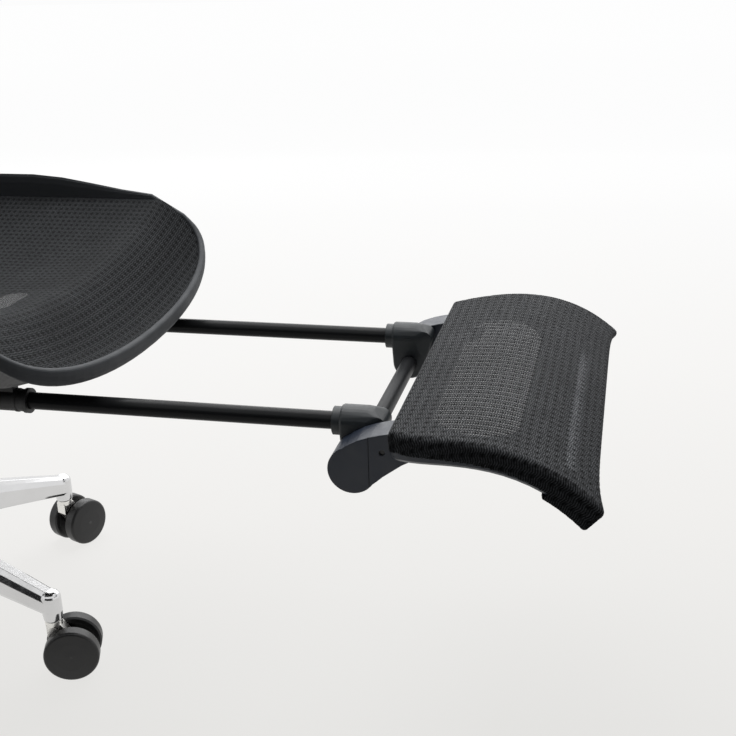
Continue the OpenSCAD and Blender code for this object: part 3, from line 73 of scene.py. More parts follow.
class Nodes:
    """Small helper round one material's node tree."""

    def __init__(self, name):
        self.mat = bpy.data.materials.new(name)
        self.mat.use_nodes = True
        self.tree = self.mat.node_tree
        self.bsdf = self.tree.nodes["Principled BSDF"]
        self.coord = self.tree.nodes.new("ShaderNodeTexCoord").outputs["Object"]

    def node(self, kind, **values):
        n = self.tree.nodes.new(kind)
        for key, value in values.items():
            if hasattr(n, key):
                setattr(n, key, value)
            else:
                n.inputs[key].default_value = value
        return n

    def link(self, a, b):
        self.tree.links.new(a, b)

    def noise(self, size_mm, detail=3.0, rough=0.55, stretch=None):
        source = self.coord
        if stretch:
            mapping = self.node("ShaderNodeMapping")
            mapping.inputs["Scale"].default_value = stretch
            self.link(source, mapping.inputs["Vector"])
            source = mapping.outputs["Vector"]
        n = self.node("ShaderNodeTexNoise", Scale=1 / (size_mm * MM), Detail=detail, Roughness=rough)
        self.link(source, n.inputs["Vector"])
        return n.outputs["Fac"]

    def remap(self, source, low, high, low_in=0.3, high_in=0.7):
        n = self.node("ShaderNodeMapRange")
        ends = {"From Min": low_in, "From Max": high_in, "To Min": low, "To Max": high}
        for key, value in ends.items():
            n.inputs[key].default_value = value
        self.link(source, n.inputs["Value"])
        return n.outputs["Result"]

    def blend(self, factor, a, b):
        n = self.node("ShaderNodeMix", data_type="RGBA")
        self.link(factor, n.inputs[0])
        for socket, value in ((n.inputs[6], a), (n.inputs[7], b)):
            if isinstance(value, tuple):
                socket.default_value = (*value, 1)
            else:
                self.link(value, socket)
        return n.outputs[2]


def scaled(color, k, added=0.0):
    return tuple(min(1.0, c * k + added) for c in color)


WEAR_MM, WORN_PALER, WORN_ADDED = 6, 1.6, 0.05
GLOSS_TO_TONE = 0.4


def surface(name, color, rough, metal=0.0, tone=0.08, tone_mm=45, rough_var=0.06, grain=0.15,
            grain_mm=0.7, grain_depth=0.15, bevel_mm=0.0, wear=0.0, sheen=0.0, specular=0.5,
            stretch=None):
    """One finish: drifting tone, uneven gloss, a fine grain, soft edges and light wear on them."""
    m = Nodes(name)
    base = m.blend(m.remap(m.noise(tone_mm), 0, 1), scaled(color, 1 - tone), scaled(color, 1 + tone))
    normal = None
    if bevel_mm:
        edge = m.node("ShaderNodeBevel", samples=4)
        edge.inputs["Radius"].default_value = bevel_mm * MM
        normal = edge.outputs["Normal"]
        if wear:
            dot = m.node("ShaderNodeVectorMath", operation="DOT_PRODUCT")
            m.link(normal, dot.inputs[0])
            m.link(m.node("ShaderNodeNewGeometry").outputs["Normal"], dot.inputs[1])
            mask = m.node("ShaderNodeMath", operation="MULTIPLY")
            on_edge = m.remap(dot.outputs["Value"], 1, 0, low_in=0.80, high_in=0.98)
            m.link(on_edge, mask.inputs[0])
            m.link(m.remap(m.noise(WEAR_MM), 0, wear, low_in=0.4, high_in=0.65), mask.inputs[1])
            base = m.blend(mask.outputs[0], base, scaled(color, WORN_PALER, WORN_ADDED))
    m.link(base, m.bsdf.inputs["Base Color"])
    gloss = m.noise(tone_mm * GLOSS_TO_TONE, stretch=stretch)
    m.link(m.remap(gloss, rough - rough_var, rough + rough_var), m.bsdf.inputs["Roughness"])
    m.bsdf.inputs["Metallic"].default_value = metal
    m.bsdf.inputs["Sheen Weight"].default_value = sheen
    m.bsdf.inputs["Specular IOR Level"].default_value = specular
    if grain:
        bump = m.node("ShaderNodeBump", Strength=grain, Distance=grain_depth * MM)
        m.link(m.noise(grain_mm, detail=2.0, stretch=stretch), bump.inputs["Height"])
        if normal:
            m.link(normal, bump.inputs["Normal"])
        normal = bump.outputs["Normal"]
    if normal:
        m.link(normal, m.bsdf.inputs["Normal"])
    return m.mat


FINISH = {
    "polished_metal": surface("polished_metal", (0.70, 0.70, 0.705), 0.12, metal=1.0, tone=0.03,
                              rough_var=0.04, grain=0.04, grain_mm=5, bevel_mm=1.2),
    "caster_fork": surface("caster_fork", (0.86, 0.85, 0.82), 0.30, metal=1.0, tone=0.03,
                           rough_var=0.05, grain=0.05, grain_mm=2, bevel_mm=1.0),
    "wheel": surface("wheel", (0.0105, 0.0105, 0.0115), 0.37, tone=0.15, grain=0.10,
                     bevel_mm=0.8, wear=0.4),
    "black_metal": surface("black_metal", (0.018, 0.018, 0.019), 0.42, tone=0.12,
                           grain=0.35, grain_mm=0.9, bevel_mm=0.8, wear=0.35),
    "rod_black": surface("rod_black", (0.026, 0.0265, 0.028), 0.28, tone=0.10, rough_var=0.05,
                         grain=0.05, grain_mm=0.5, specular=0.11, stretch=(1, 0.08, 1)),
    "gunmetal": surface("gunmetal", (0.028, 0.029, 0.031), 0.42, metal=0.15, tone=0.06,
                        grain=0.06, grain_mm=0.4, specular=0.10, stretch=(0.05, 1, 1)),
    "steel": surface("steel", (0.50, 0.50, 0.51), 0.22, metal=1.0, tone=0.04, grain=0.05,
                     bevel_mm=0.4),
    "brass": surface("brass", (0.62, 0.47, 0.20), 0.28, metal=1.0, grain=0.05, bevel_mm=0.3),
    "elbow": surface("elbow", (0.0125, 0.017, 0.0205), 0.46, grain=0.30, grain_mm=0.6,
                     bevel_mm=1.6, wear=0.25),
    "arm_blue_grey": surface("arm_blue_grey", (0.0115, 0.018, 0.033), 0.41, grain=0.30,
                             grain_mm=0.5, bevel_mm=2.2, wear=0.2),
    "rim_grey": surface("rim_grey", (0.063, 0.067, 0.073), 0.60, tone=0.05, grain=0.22,
                        grain_mm=0.6, specular=0.28),
    "black_plastic": surface("black_plastic", (0.012, 0.012, 0.0125), 0.52, grain=0.30,
                             grain_mm=0.7, bevel_mm=0.8, wear=0.25),
    "arm_pad": surface("arm_pad", (0.016, 0.016, 0.017), 0.58, grain=0.5, grain_mm=0.9,
                       grain_depth=0.25, sheen=0.1),
}


PATCH_MM, GLOSS_MM, TWIST_MM, TWIST_DEPTH = 70, 3, 0.35, 0.15


def yarn(name, dark, light, run_mm):
    """Thread colour that changes along and between strands, painted light on crowns and painted shade in
    grooves, with a fine twisted grain.
    """
    m = Nodes(name)
    fleck = m.remap(m.noise(run_mm, detail=4.0, rough=0.7), 0, 1, low_in=0.35, high_in=0.65)
    patch = m.remap(m.noise(PATCH_MM, detail=2.0), 0.85, 1.1)
    base = m.blend(fleck, dark, light)
    # Each point's painted shading: painted light on crowns, painted shade in grooves and pinholes.
    depth = m.node("ShaderNodeVertexColor", layer_name="depth").outputs["Color"]
    for tone in (patch, depth):
        shade = m.node("ShaderNodeMix", data_type="RGBA", blend_type="MULTIPLY")
        shade.inputs[0].default_value = 1.0
        m.link(base, shade.inputs[6])
        m.link(tone, shade.inputs[7])
        base = shade.outputs[2]
    m.link(base, m.bsdf.inputs["Base Color"])
    m.link(m.remap(m.noise(GLOSS_MM), 0.5, 0.72), m.bsdf.inputs["Roughness"])
    m.bsdf.inputs["Specular IOR Level"].default_value = 0.03
    m.bsdf.inputs["Sheen Weight"].default_value = 0.01
    m.bsdf.inputs["Sheen Roughness"].default_value = 0.4
    bump = m.node("ShaderNodeBump", Strength=0.5, Distance=TWIST_DEPTH * MM)
    m.link(m.noise(TWIST_MM, detail=2.0, stretch=(1, 0.35, 1)), bump.inputs["Height"])
    m.link(bump.outputs["Normal"], m.bsdf.inputs["Normal"])
    return m.mat


YARN = {
    "seat": yarn("seat_yarn", (0.024, 0.0252, 0.027), (0.066, 0.069, 0.073), 1.4),
    "footrest": yarn("footrest_yarn", (0.033, 0.034, 0.036), (0.119, 0.122, 0.128), 2.2),
}


# Meshes

def new_piece(name, points, faces, mat, body):
    mesh = bpy.data.meshes.new(name)
    mesh.from_pydata(points, [], faces)
    mesh.update()
    mesh.shade_smooth()
    mesh.materials.append(mat)
    obj = bpy.data.objects.new(name, mesh)
    SCENE.collection.objects.link(obj)
    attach(obj, body)
    return obj


def net(name, spots, kept, tone, mat, body):
    """A net from a grid of points in mm. kept marks the cells of thread, and tone is painted light and
    shade on the points.
    """
    rows, cols = kept.shape
    index = np.arange((rows + 1) * (cols + 1)).reshape(rows + 1, cols + 1)
    corners = (index[:-1, :-1], index[:-1, 1:], index[1:, 1:], index[1:, :-1])
    used, faces = np.unique(np.stack(corners, axis=-1)[kept], return_inverse=True)
    points = spots.reshape(-1, 3)[used] * MM
    obj = new_piece(name, points.tolist(), faces.reshape(-1, 4).tolist(), mat, body)
    # The painted light and shade of each point goes into a colour attribute.
    depth = obj.data.color_attributes.new("depth", "FLOAT_COLOR", "POINT")
    depth.data.foreach_set("color", np.repeat(tone.reshape(-1)[used], 4))
    return obj


# Zigzag knit: strands lie side by side, touch at each turn, and leave a slit between turns.
# A strand's points are one edge, its crown and its other edge, and then comes the groove beside it.

STRAND_AT = np.array([0.0, 0.36, 0.72, 0.88])
STRAND_LIFT = np.array([0.0, 1.0, 0.0, -0.3])
# Painted light on the crown, painted shade on the edges and, darkest, in the groove.
STRAND_PAINTED_SHADING = np.array([0.4, 1.75, 0.4, 0.05])
POINTS = len(STRAND_AT)
GROOVE = POINTS - 1

# Every fourth groove has a row of pinholes, dipped and darkened with painted shade, which fade out over
# the points beside it.

COLUMN = 4
PINHOLE_FADE = np.array([1.0, 0.95, 0.65, 0.1])
PINHOLE_LONG, PINHOLE_DIP = 2, 0.8
UNEVEN_LIFT, UNEVEN_TONE, SEED = 0.25, 0.35, 7

SEAT_KNIT = {"pitch": 2.05, "leg": 5.0, "zigzag": 0.45, "relief": 0.22, "steps": 3}
UPRIGHT_KNIT = {"pitch": 3.4, "leg": 6.8, "zigzag": 0.9, "relief": 0.35, "steps": 3}
FOOTREST_KNIT = {"pitch": 2.55, "leg": 5.6, "zigzag": 1.1, "relief": 0.3, "steps": 4}


class Knit:
    def __init__(self, start, end, half, pitch, leg, zigzag, relief, steps):
        """Strands a pitch apart from start to end, with turns a leg apart out to half on each side."""
        j = np.arange(POINTS * math.ceil((end - start) / pitch) + 1)[None, :]
        kind = j % POINTS
        turns = math.ceil(half / leg)
        i = np.arange(-turns * steps, turns * steps + 1)[:, None]
        self.across = (i - 0.5) * leg / steps + 0 * j
        self.along = start + (j // POINTS + STRAND_AT[kind]) * pitch
        self.along = self.along + zigzag * triangle_wave(self.across / (2 * leg))
        rough = np.random.default_rng(SEED).uniform(-0.5, 0.5, self.across.shape)
        period = POINTS * COLUMN
        beside = np.minimum((j + 1) % period, (-j - 1) % period)
        fade = PINHOLE_FADE[np.minimum(beside, len(PINHOLE_FADE) - 1)]
        pinhole = (i % (2 * steps) <= PINHOLE_LONG) * fade
        self.lift = relief * (STRAND_LIFT[kind] - PINHOLE_DIP * pinhole + UNEVEN_LIFT * rough)
        # Painted light and shade on each point, with painted shade at the pinholes and uneven tone at
        # random.
        self.tone = STRAND_PAINTED_SHADING[kind] * (1 - pinhole) * (1 + UNEVEN_TONE * rough)
        self.thread = (kind[:, :-1] != GROOVE) | (i[:-1] % steps != steps // 2)

    def net(self, name, spots, inside, mat, body, slot, closed=False):
        """The knit as a net at spots, kept where inside. Slits are filled where closed."""
        kept = (self.thread | closed) & inside[:-1, :-1] & inside[1:, 1:]
        return net(name, np.stack(spots, axis=-1), kept, self.tone, mat, body)


# Seat net: level at the lip, up over a rise behind it, higher at both sides and sagging in the middle.
# Here and on the back, the knit is laid to spare beyond the outline and cut a little over it.

SEAT_HALF, SEAT_FRONT, SEAT_REAR = 259.5, -428.5, 33.0
SEAT_BOW, SEAT_REAR_BOW, SEAT_POWER = 53.5, 60.0, 2 / 0.79
SEAT_MID = (SEAT_REAR + SEAT_FRONT) / 2
SEAT_SAG, SEAT_SPARE, SEAT_OVER, SEAT_SINK = 14.0, 3, 2.0, 0.9
LIP_Z, SEAT_RISE, SEAT_RISE_LONG, SEAT_WING = 452.0, 64, 93, 34
SHARE_MOST, HALVINGS = 1.2, 12


def seat_half_at(y, grow):
    """Half width of the seat's outline at y, grown outwards."""
    front = np.clip((SEAT_FRONT + SEAT_BOW - y) / (SEAT_BOW + grow), 0, 1)
    rear = np.clip((y - SEAT_REAR + SEAT_REAR_BOW) / (SEAT_REAR_BOW + grow), 0, 1)
    rounded = (1 - front ** SEAT_POWER) ** (1 / SEAT_POWER)
    return (SEAT_HALF + grow) * rounded * np.sqrt(1 - rear * rear)


def seat_line(x, y):
    rise = SEAT_RISE * smooth((y - SEAT_FRONT) / SEAT_RISE_LONG)
    return LIP_Z + rise + SEAT_WING * (x / SEAT_HALF) ** 2


def seat_edge_share(x, y):
    """How far each point lies towards the outline: 0 in the middle and 1 on the edge, along its ray."""
    low, high = np.zeros_like(x), np.full_like(x, SHARE_MOST)
    for _ in range(HALVINGS):
        share = (low + high) / 2
        px, py = x / share, SEAT_MID + (y - SEAT_MID) / share
        inside = (py >= SEAT_FRONT) & (py <= SEAT_REAR) & (np.abs(px) <= seat_half_at(py, 0))
        low, high = np.where(inside, low, share), np.where(inside, share, high)
    return np.minimum(1.0, high)


def seat_net():
    front, rear, half = SEAT_FRONT - SEAT_SPARE, SEAT_REAR + SEAT_SPARE, SEAT_HALF + SEAT_SPARE
    knit = Knit(front, rear, half, **SEAT_KNIT)
    x, y = knit.across, knit.along
    sag = SEAT_SAG * (1 - seat_edge_share(x, y) ** 2)
    z = seat_line(x, y) - sag - SEAT_SINK + knit.lift
    inside = (y > SEAT_FRONT - SEAT_OVER) & (y < SEAT_REAR + SEAT_OVER)
    inside = inside & (np.abs(x) < seat_half_at(y, SEAT_OVER))
    return knit.net("seat_net", (x, y, z), inside, YARN["seat"], "seat", "seat_mesh")


# Back and headrest nets, drawn upright over the tilt axle and then leant back about it

TILT = np.array([0, 88, 392])
LEAN = np.array(Matrix.Rotation(math.radians(-20), 3, "X"))
UPRIGHT_SPARE, UPRIGHT_OVER, UPRIGHT_SINK = 4, 1.5, 1.2
BACK_LOW, BACK_H, BACK_HALF = 175.0, 525.0, 230.0
BACK_BOW_LOW, BACK_BOW_TOP = 50.0, 46.0
TAPER_LOW, TAPER_LOW_RATE, TAPER_TOP, TAPER_TOP_FROM = 0.2, 2.2, 0.16, 0.5
BACK_OFFSET, BACK_RAKE, BACK_BULGE, BULGE_RATE, BACK_WRAP = 10, 35, 20, 1.5, 26


def back_half(share):
    """Half width of the back at a share of its height, narrower at the foot and at the top."""
    low = np.maximum(0.0, 1 - share * TAPER_LOW_RATE)
    top = np.maximum(0.0, (share - TAPER_TOP_FROM) / (1 - TAPER_TOP_FROM))
    return BACK_HALF * (1 - TAPER_LOW * low ** 2 - TAPER_TOP * top ** 2)


def back_surface(x, v):
    share = (v - BACK_LOW) / BACK_H
    bulge = BACK_BULGE * np.sin(math.pi * np.clip(share * BULGE_RATE, 0.0, 1.0))
    return BACK_OFFSET + BACK_RAKE * share * share - bulge - BACK_WRAP * (x / BACK_HALF) ** 2


def in_back(x, v, grow):
    below = np.clip((BACK_LOW + BACK_BOW_LOW - v) / (BACK_BOW_LOW + grow), 0, 1)
    above = np.clip((v - BACK_LOW - BACK_H + BACK_BOW_TOP) / (BACK_BOW_TOP + grow), 0, 1)
    level = np.clip((v - BACK_LOW) / BACK_H, BACK_BOW_LOW / BACK_H, 1 - BACK_BOW_TOP / BACK_H)
    return np.abs(x) <= (back_half(level) + grow) * np.sqrt((1 - below ** 2) * (1 - above ** 2))


HEAD_W, HEAD_H, HEAD_MID = 290.0, 135.0, 822.0
HEAD_ROUND_ACROSS, HEAD_ROUND_UP, HEAD_OFFSET, HEAD_WRAP = 0.6, 0.7, 14, 34


def in_head(x, v, grow):
    across = np.clip(np.abs(x) / (HEAD_W / 2 + grow), 0, 1)
    up = np.abs(v - HEAD_MID) / (HEAD_H / 2 + grow)
    return up <= (1 - across ** (2 / HEAD_ROUND_ACROSS)) ** (HEAD_ROUND_UP / 2)


def head_surface(x, v):
    return HEAD_OFFSET - HEAD_WRAP * (2 * x / HEAD_W) ** 2 + 0 * v


def upright_net(name, half, low, high, surface_at, inside, body):
    """A net over a surface from low to high and out to half on each side, kept where inside."""
    knit = Knit(low - UPRIGHT_SPARE, high + UPRIGHT_SPARE, half + UPRIGHT_SPARE, **UPRIGHT_KNIT)
    x, v = knit.across, knit.along
    y = surface_at(x, v) + UPRIGHT_SINK - knit.lift
    spots = np.moveaxis(TILT + np.stack([x, y, v], axis=-1) @ LEAN.T, -1, 0)
    return knit.net(name, spots, inside(x, v, UPRIGHT_OVER), YARN["seat"], body, "seat_mesh")


# Footrest knit: a cover over the pad, closed as a pocket round the outer end. The pad's middle line
# is a cubic curve in the side view, between an inner and an outer end that each have a handle.

PAD_IN = np.array([-756.0, 437.5])
PAD_OUT = np.array([-968.0, 388.5])
PAD_CURVE = (PAD_IN, PAD_IN + [-43, 0], PAD_OUT + [80, 80], PAD_OUT)
PAD_STEPS, AHEAD_SHARE, LEAST_MM = 401, 0.01, 1e-9
PAD_IN_HALF, PAD_OUT_HALF, PAD_FLARE, PAD_ROUND = 197.5, 254.0, 0.46, 7.0
PAD_PULL, PAD_PULL_POWER, PAD_PULL_RISE = 13.0, 8, 4
SLEEVE_DROP, POCKET_SHARE, POCKET_ROUND, POCKET_TUCK = 22.0, 0.81, 4.0, 12.0
PAD_DEEP, PAD_TIP_DEEP = 36.2, 28.7
COVER_SINK = 0.35

# The see-through window ends in an arch, and near the outer edge a band of threads over the slot is
# drawn lighter and keeps its slits open

ARCH_MID, ARCH_HALF, ARCH_ROUND, ARCH_FAR = 80.0, 56.0, 100.0, 121.0
EDGE_IN, EDGE_WIDE, EDGE_FAR, EDGE_NEAR = 42.0, 6.5, 110.0, -228.0
EDGE_FAR_FADE, EDGE_NEAR_FADE, EDGE_POWER, EDGE_PALER, EDGE_OPEN = 80, 15, 4, 1.1, 0.3


def pad_at(t):
    """In the chair's side view, y and z of the pad's middle line at a share t of its curve."""
    t = np.asarray(t)
    shares = np.stack([(1 - t) ** 3, 3 * t * (1 - t) ** 2, 3 * t * t * (1 - t), t ** 3])
    return np.tensordot(np.array(PAD_CURVE).T, shares, axes=1)


PAD_SHARES = np.linspace(0, 1, PAD_STEPS)
PAD_RUNS = np.hypot(*np.diff(pad_at(PAD_SHARES), axis=1))
PAD_LENGTHS = np.concatenate([[0], np.cumsum(PAD_RUNS)])
PAD_ARC = PAD_LENGTHS[-1]


def pad_half(t):
    return mix(PAD_IN_HALF, PAD_OUT_HALF, t ** PAD_FLARE)


def over_edge(u, s):
    """Share along the pad, half width to where the edge turns down, and how far (u, s) is past it."""
    t = np.interp(np.clip(u, PAD_ROUND, PAD_ARC - PAD_ROUND), PAD_LENGTHS, PAD_SHARES)
    half = pad_half(t) - PAD_ROUND
    over_u = np.maximum(0.0, np.maximum(PAD_ROUND - u, u - (PAD_ARC - PAD_ROUND)))
    return t, half, over_u, np.maximum(0.0, np.abs(s) - half)


def pad_skin(u, s, lift):
    """Point of the cover at a length u along the pad and s across it, folded down and under at edges."""
    t, half, over_u, over_s = over_edge(u, s)
    past = np.maximum(np.hypot(over_u, over_s), LEAST_MM)
    side = mix(PAD_DEEP, PAD_TIP_DEEP, t) - PAD_ROUND - POCKET_ROUND
    bend = np.minimum(past / PAD_ROUND, math.pi / 2)
    rest = past - PAD_ROUND * math.pi / 2
    tuck = np.clip((rest - side) / POCKET_ROUND, 0, math.pi / 2)
    under = np.maximum(0.0, rest - side - POCKET_ROUND * math.pi / 2)
    out = PAD_ROUND * np.sin(bend) - POCKET_ROUND * (1 - np.cos(tuck)) - under
    out = out + lift * np.sin(bend + tuck)
    down = PAD_ROUND * (1 - np.cos(bend)) + np.clip(rest, 0, side) + POCKET_ROUND * np.sin(tuck)
    x = np.copysign(np.minimum(np.abs(s), half) + out * over_s / past, s)
    edge = np.minimum(1.0, np.abs(x) / (half + PAD_ROUND))
    pull = -PAD_PULL * t ** PAD_PULL_RISE * (1 - edge ** PAD_PULL_POWER)
    along = np.where(u < PAD_ROUND, -1, 1) * out * over_u / past + pull
    base = pad_at(t)
    ahead = pad_at(np.minimum(1, t + AHEAD_SHARE)) - pad_at(np.maximum(0, t - AHEAD_SHARE))
    dy, dz = ahead / np.hypot(ahead[0], ahead[1])
    up = lift * np.cos(bend + tuck) - down
    return x, base[0] + dy * along + dz * up, base[1] + dz * along - dy * up


def footrest_knit():
    fold = PAD_ROUND * math.pi / 2 - PAD_ROUND
    reach = fold + PAD_TIP_DEEP + POCKET_TUCK
    knit = Knit(-reach, PAD_ARC + reach, PAD_OUT_HALF + reach, **FOOTREST_KNIT)
    u, s = knit.along, knit.across
    t, _, over_u, over_s = over_edge(u, s)
    covered = np.where(t > POCKET_SHARE, reach + PAD_ROUND, fold + SLEEVE_DROP)
    inside = np.hypot(over_u, over_s) < covered
    spots = pad_skin(u, s, knit.lift - COVER_SINK)
    edge = np.exp(-((u - PAD_ARC + EDGE_IN) / EDGE_WIDE) ** EDGE_POWER)
    edge = edge * smooth((EDGE_FAR - s) / EDGE_FAR_FADE)
    knit.tone = knit.tone * (1 + EDGE_PALER * edge * smooth((s - EDGE_NEAR) / EDGE_NEAR_FADE))
    rise = np.clip((s - ARCH_FAR + ARCH_ROUND) / ARCH_ROUND, 0, 1)
    beyond = np.abs(u - ARCH_MID) > ARCH_HALF * np.sqrt(1 - rise ** 2)
    closed = beyond & (edge < EDGE_OPEN)
    return knit.net("footrest_knit", spots, inside, YARN["footrest"], "footrest", "footrest_knit",
                    closed[:-1, :-1])


# Arm pads: soft moulded caps, widest near half their height and dipped along the top. Each ring has
# its share of the width and its share of the height.

CAP_RINGS = ((0.86, 0.0), (0.94, 0.05), (0.985, 0.16), (1.0, 0.34), (1.0, 0.5), (0.985, 0.7),
             (0.95, 0.84), (0.88, 0.93), (0.74, 0.975), (0.5, 0.99), (0.25, 1.0))
CAP_SIDES, CAP_CORNER, CAP_DIP, CAP_DIP_FROM = 64, 0.42, 1.2, 0.9


def cap_ring(mid, half_x, half_y, scale, z, dip):
    """One ring of a cap, a rounded rectangle that is lower in the middle of its length by the dip."""
    inset = (1 - scale) * half_x
    ring = []
    for k in range(CAP_SIDES):
        a = 2 * math.pi * k / CAP_SIDES
        c, s = math.cos(a), math.sin(a)
        x = math.copysign(abs(c) ** CAP_CORNER, c) * (half_x - inset)
        y = math.copysign(abs(s) ** CAP_CORNER, s) * (half_y - inset)
        lower = dip * (1 - (y / half_y) ** 2)
        ring.append(((mid[0] + x) * MM, (mid[1] + y) * MM, (z - lower) * MM))
    return ring


def arm_cap(side):
    node = f"arm_pad_{side}"
    low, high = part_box(node)
    mid = [(a + b) / 2 / MM for a, b in zip(low, high)]
    half_x, half_y = (high[0] - low[0]) / 2 / MM, (high[1] - low[1]) / 2 / MM
    z0, z1 = low[2] / MM, high[2] / MM
    points, faces = [], []
    for scale, up in CAP_RINGS:
        dip = CAP_DIP * float(smooth((up - CAP_DIP_FROM) / (1 - CAP_DIP_FROM)))
        points += cap_ring(mid, half_x, half_y, scale, mix(z0, z1, up), dip)
    for start in range(0, len(points) - CAP_SIDES, CAP_SIDES):
        for k in range(CAP_SIDES):
            a, b = start + k, start + (k + 1) % CAP_SIDES
            faces.append((a, b, b + CAP_SIDES, a + CAP_SIDES))
    faces.append(tuple(range(CAP_SIDES))[::-1])
    faces.append(tuple(range(len(points) - CAP_SIDES, len(points))))
    obj = new_piece(f"arm_cap_{side}", points, faces, FINISH["arm_pad"], node)
    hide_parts(node)


def dress():
    seat = seat_net()
    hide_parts("seat_mesh")
    back = upright_net("back_net", BACK_HALF, BACK_LOW, BACK_LOW + BACK_H, back_surface, in_back, "back")
    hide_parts("back_mesh")
    head = upright_net("headrest_net", HEAD_W / 2, HEAD_MID - HEAD_H / 2, HEAD_MID + HEAD_H / 2,
                       head_surface, in_head, "headrest")
    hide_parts("headrest_mesh")
    knit = footrest_knit()
    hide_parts("footrest_mesh")
    for side in ("left", "right"):
        arm_cap(side)


# The solids' own shading and finish

SLOT_OF = {s["node"]: s["material_slot"] for s in frame["record"]["subparts"]}
SHARP_EDGE = math.radians(32)


def smooth_by_angle(limit):
    """A modifier's node group that shades smoothly, except across edges sharper than the limit."""
    group = bpy.data.node_groups.new("smooth_by_angle", "GeometryNodeTree")
    group.interface.new_socket("Geometry", in_out="INPUT", socket_type="NodeSocketGeometry")
    group.interface.new_socket("Geometry", in_out="OUTPUT", socket_type="NodeSocketGeometry")
    start, end = group.nodes.new("NodeGroupInput"), group.nodes.new("NodeGroupOutput")
    angle = group.nodes.new("GeometryNodeInputMeshEdgeAngle")
    gentle = group.nodes.new("FunctionNodeCompare")
    gentle.operation = "LESS_THAN"
    gentle.inputs["B"].default_value = limit
    edges, faces = (group.nodes.new("GeometryNodeSetShadeSmooth") for _ in range(2))
    edges.domain, faces.domain = "EDGE", "FACE"
    group.links.new(angle.outputs["Unsigned Angle"], gentle.inputs["A"])
    group.links.new(gentle.outputs[0], edges.inputs["Shade Smooth"])
    group.links.new(start.outputs[0], edges.inputs["Geometry"])
    group.links.new(edges.outputs[0], faces.inputs["Geometry"])
    group.links.new(faces.outputs[0], end.inputs[0])
    return group


def finish_nodes():
    shading = smooth_by_angle(SHARP_EDGE)
    for name, obj in NODES.items():
        obj.modifiers.new("smooth", "NODES").node_group = shading
        mat = FINISH.get(SLOT_OF[name])
        if mat is None:
            continue
        obj.data.materials.clear()
        obj.data.materials.append(mat)


# Light, floor and camera

def background_rays(tree):
    """1 for rays that show the background: the camera's own, and those in gloss and through glass."""
    path = tree.nodes.new("ShaderNodeLightPath")
    shown = path.outputs["Is Camera Ray"]
    for name in ("Is Glossy Ray", "Is Transmission Ray"):
        add = tree.nodes.new("ShaderNodeMath")
        add.operation = "MAXIMUM"
        tree.links.new(shown, add.inputs[0])
        tree.links.new(path.outputs[name], add.inputs[1])
        shown = add.outputs[0]
    return shown


# The floor's colour at each distance in metres from the point under the camera. Its matt part takes
# the shadow, and its dim part is what lights the chair from below.

FLOOR_STOPS = ((1.1, (0.732, 0.726, 0.710)), (1.7, (0.793, 0.784, 0.768)),
               (2.4, (0.838, 0.830, 0.818)), (3.8, (0.885, 0.883, 0.880)),
               (4.8, (0.955, 0.955, 0.955)), (10.0, (0.972, 0.972, 0.972)))
FLOOR_MATT, FLOOR_DIM = 0.10, 0.14
BACKDROP, SKY_COLOR, SKY_STRENGTH = 0.975, (0.94, 0.97, 1.0), 0.16
CAMERA_AT = Vector((-1.190, -0.972, 0.884))


def grey(value):
    return (value, value, value, 1)


def floor_material():
    """Off-white that pales away from the camera, takes a shadow and gives back little light."""
    mat = bpy.data.materials.new("floor")
    mat.use_nodes = True
    tree = mat.node_tree
    tree.nodes.clear()
    place = tree.nodes.new("ShaderNodeNewGeometry").outputs["Position"]
    away = tree.nodes.new("ShaderNodeVectorMath")
    away.operation = "DISTANCE"
    away.inputs[1].default_value = (CAMERA_AT.x, CAMERA_AT.y, 0)
    ramp = tree.nodes.new("ShaderNodeValToRGB")
    span = FLOOR_STOPS[-1][0]
    ends = (FLOOR_STOPS[0], FLOOR_STOPS[-1])
    for stop, (metres, color) in zip(ramp.color_ramp.elements, ends):
        stop.position = metres / span
        stop.color = (*color, 1)
    for metres, color in FLOOR_STOPS[1:-1]:
        ramp.color_ramp.elements.new(metres / span).color = (*color, 1)
    scale = tree.nodes.new("ShaderNodeMath")
    scale.operation = "MULTIPLY"
    scale.inputs[1].default_value = 1 / span
    tree.links.new(place, away.inputs[0])
    tree.links.new(away.outputs["Value"], scale.inputs[0])
    tree.links.new(scale.outputs[0], ramp.inputs["Fac"])
    glow = tree.nodes.new("ShaderNodeEmission")
    tree.links.new(ramp.outputs["Color"], glow.inputs["Color"])
    matt = tree.nodes.new("ShaderNodeBsdfDiffuse")
    matt.inputs["Color"].default_value = grey(FLOOR_MATT)
    both = tree.nodes.new("ShaderNodeAddShader")
    tree.links.new(glow.outputs[0], both.inputs[0])
    tree.links.new(matt.outputs[0], both.inputs[1])
    dim = tree.nodes.new("ShaderNodeBsdfDiffuse")
    dim.inputs["Color"].default_value = grey(FLOOR_DIM)
    blend = tree.nodes.new("ShaderNodeMixShader")
    out = tree.nodes.new("ShaderNodeOutputMaterial")
    tree.links.new(background_rays(tree), blend.inputs[0])
    tree.links.new(dim.outputs[0], blend.inputs[1])
    tree.links.new(both.outputs[0], blend.inputs[2])
    tree.links.new(blend.outputs[0], out.inputs[0])
    return mat


def dark_room_material():
    """Dark where the chair mirrors it, and clear to the camera, so that it hides no view."""
    mat = bpy.data.materials.new("dark_room")
    mat.use_nodes = True
    tree = mat.node_tree
    dark = tree.nodes["Principled BSDF"]
    dark.inputs["Base Color"].default_value = (0.02, 0.02, 0.022, 1)
    dark.inputs["Roughness"].default_value = 0.9
    blend = tree.nodes.new("ShaderNodeMixShader")
    tree.links.new(tree.nodes.new("ShaderNodeLightPath").outputs["Is Camera Ray"], blend.inputs[0])
    tree.links.new(dark.outputs[0], blend.inputs[1])
    tree.links.new(tree.nodes.new("ShaderNodeBsdfTransparent").outputs[0], blend.inputs[2])
    tree.links.new(blend.outputs[0], tree.nodes["Material Output"].inputs["Surface"])
    return mat


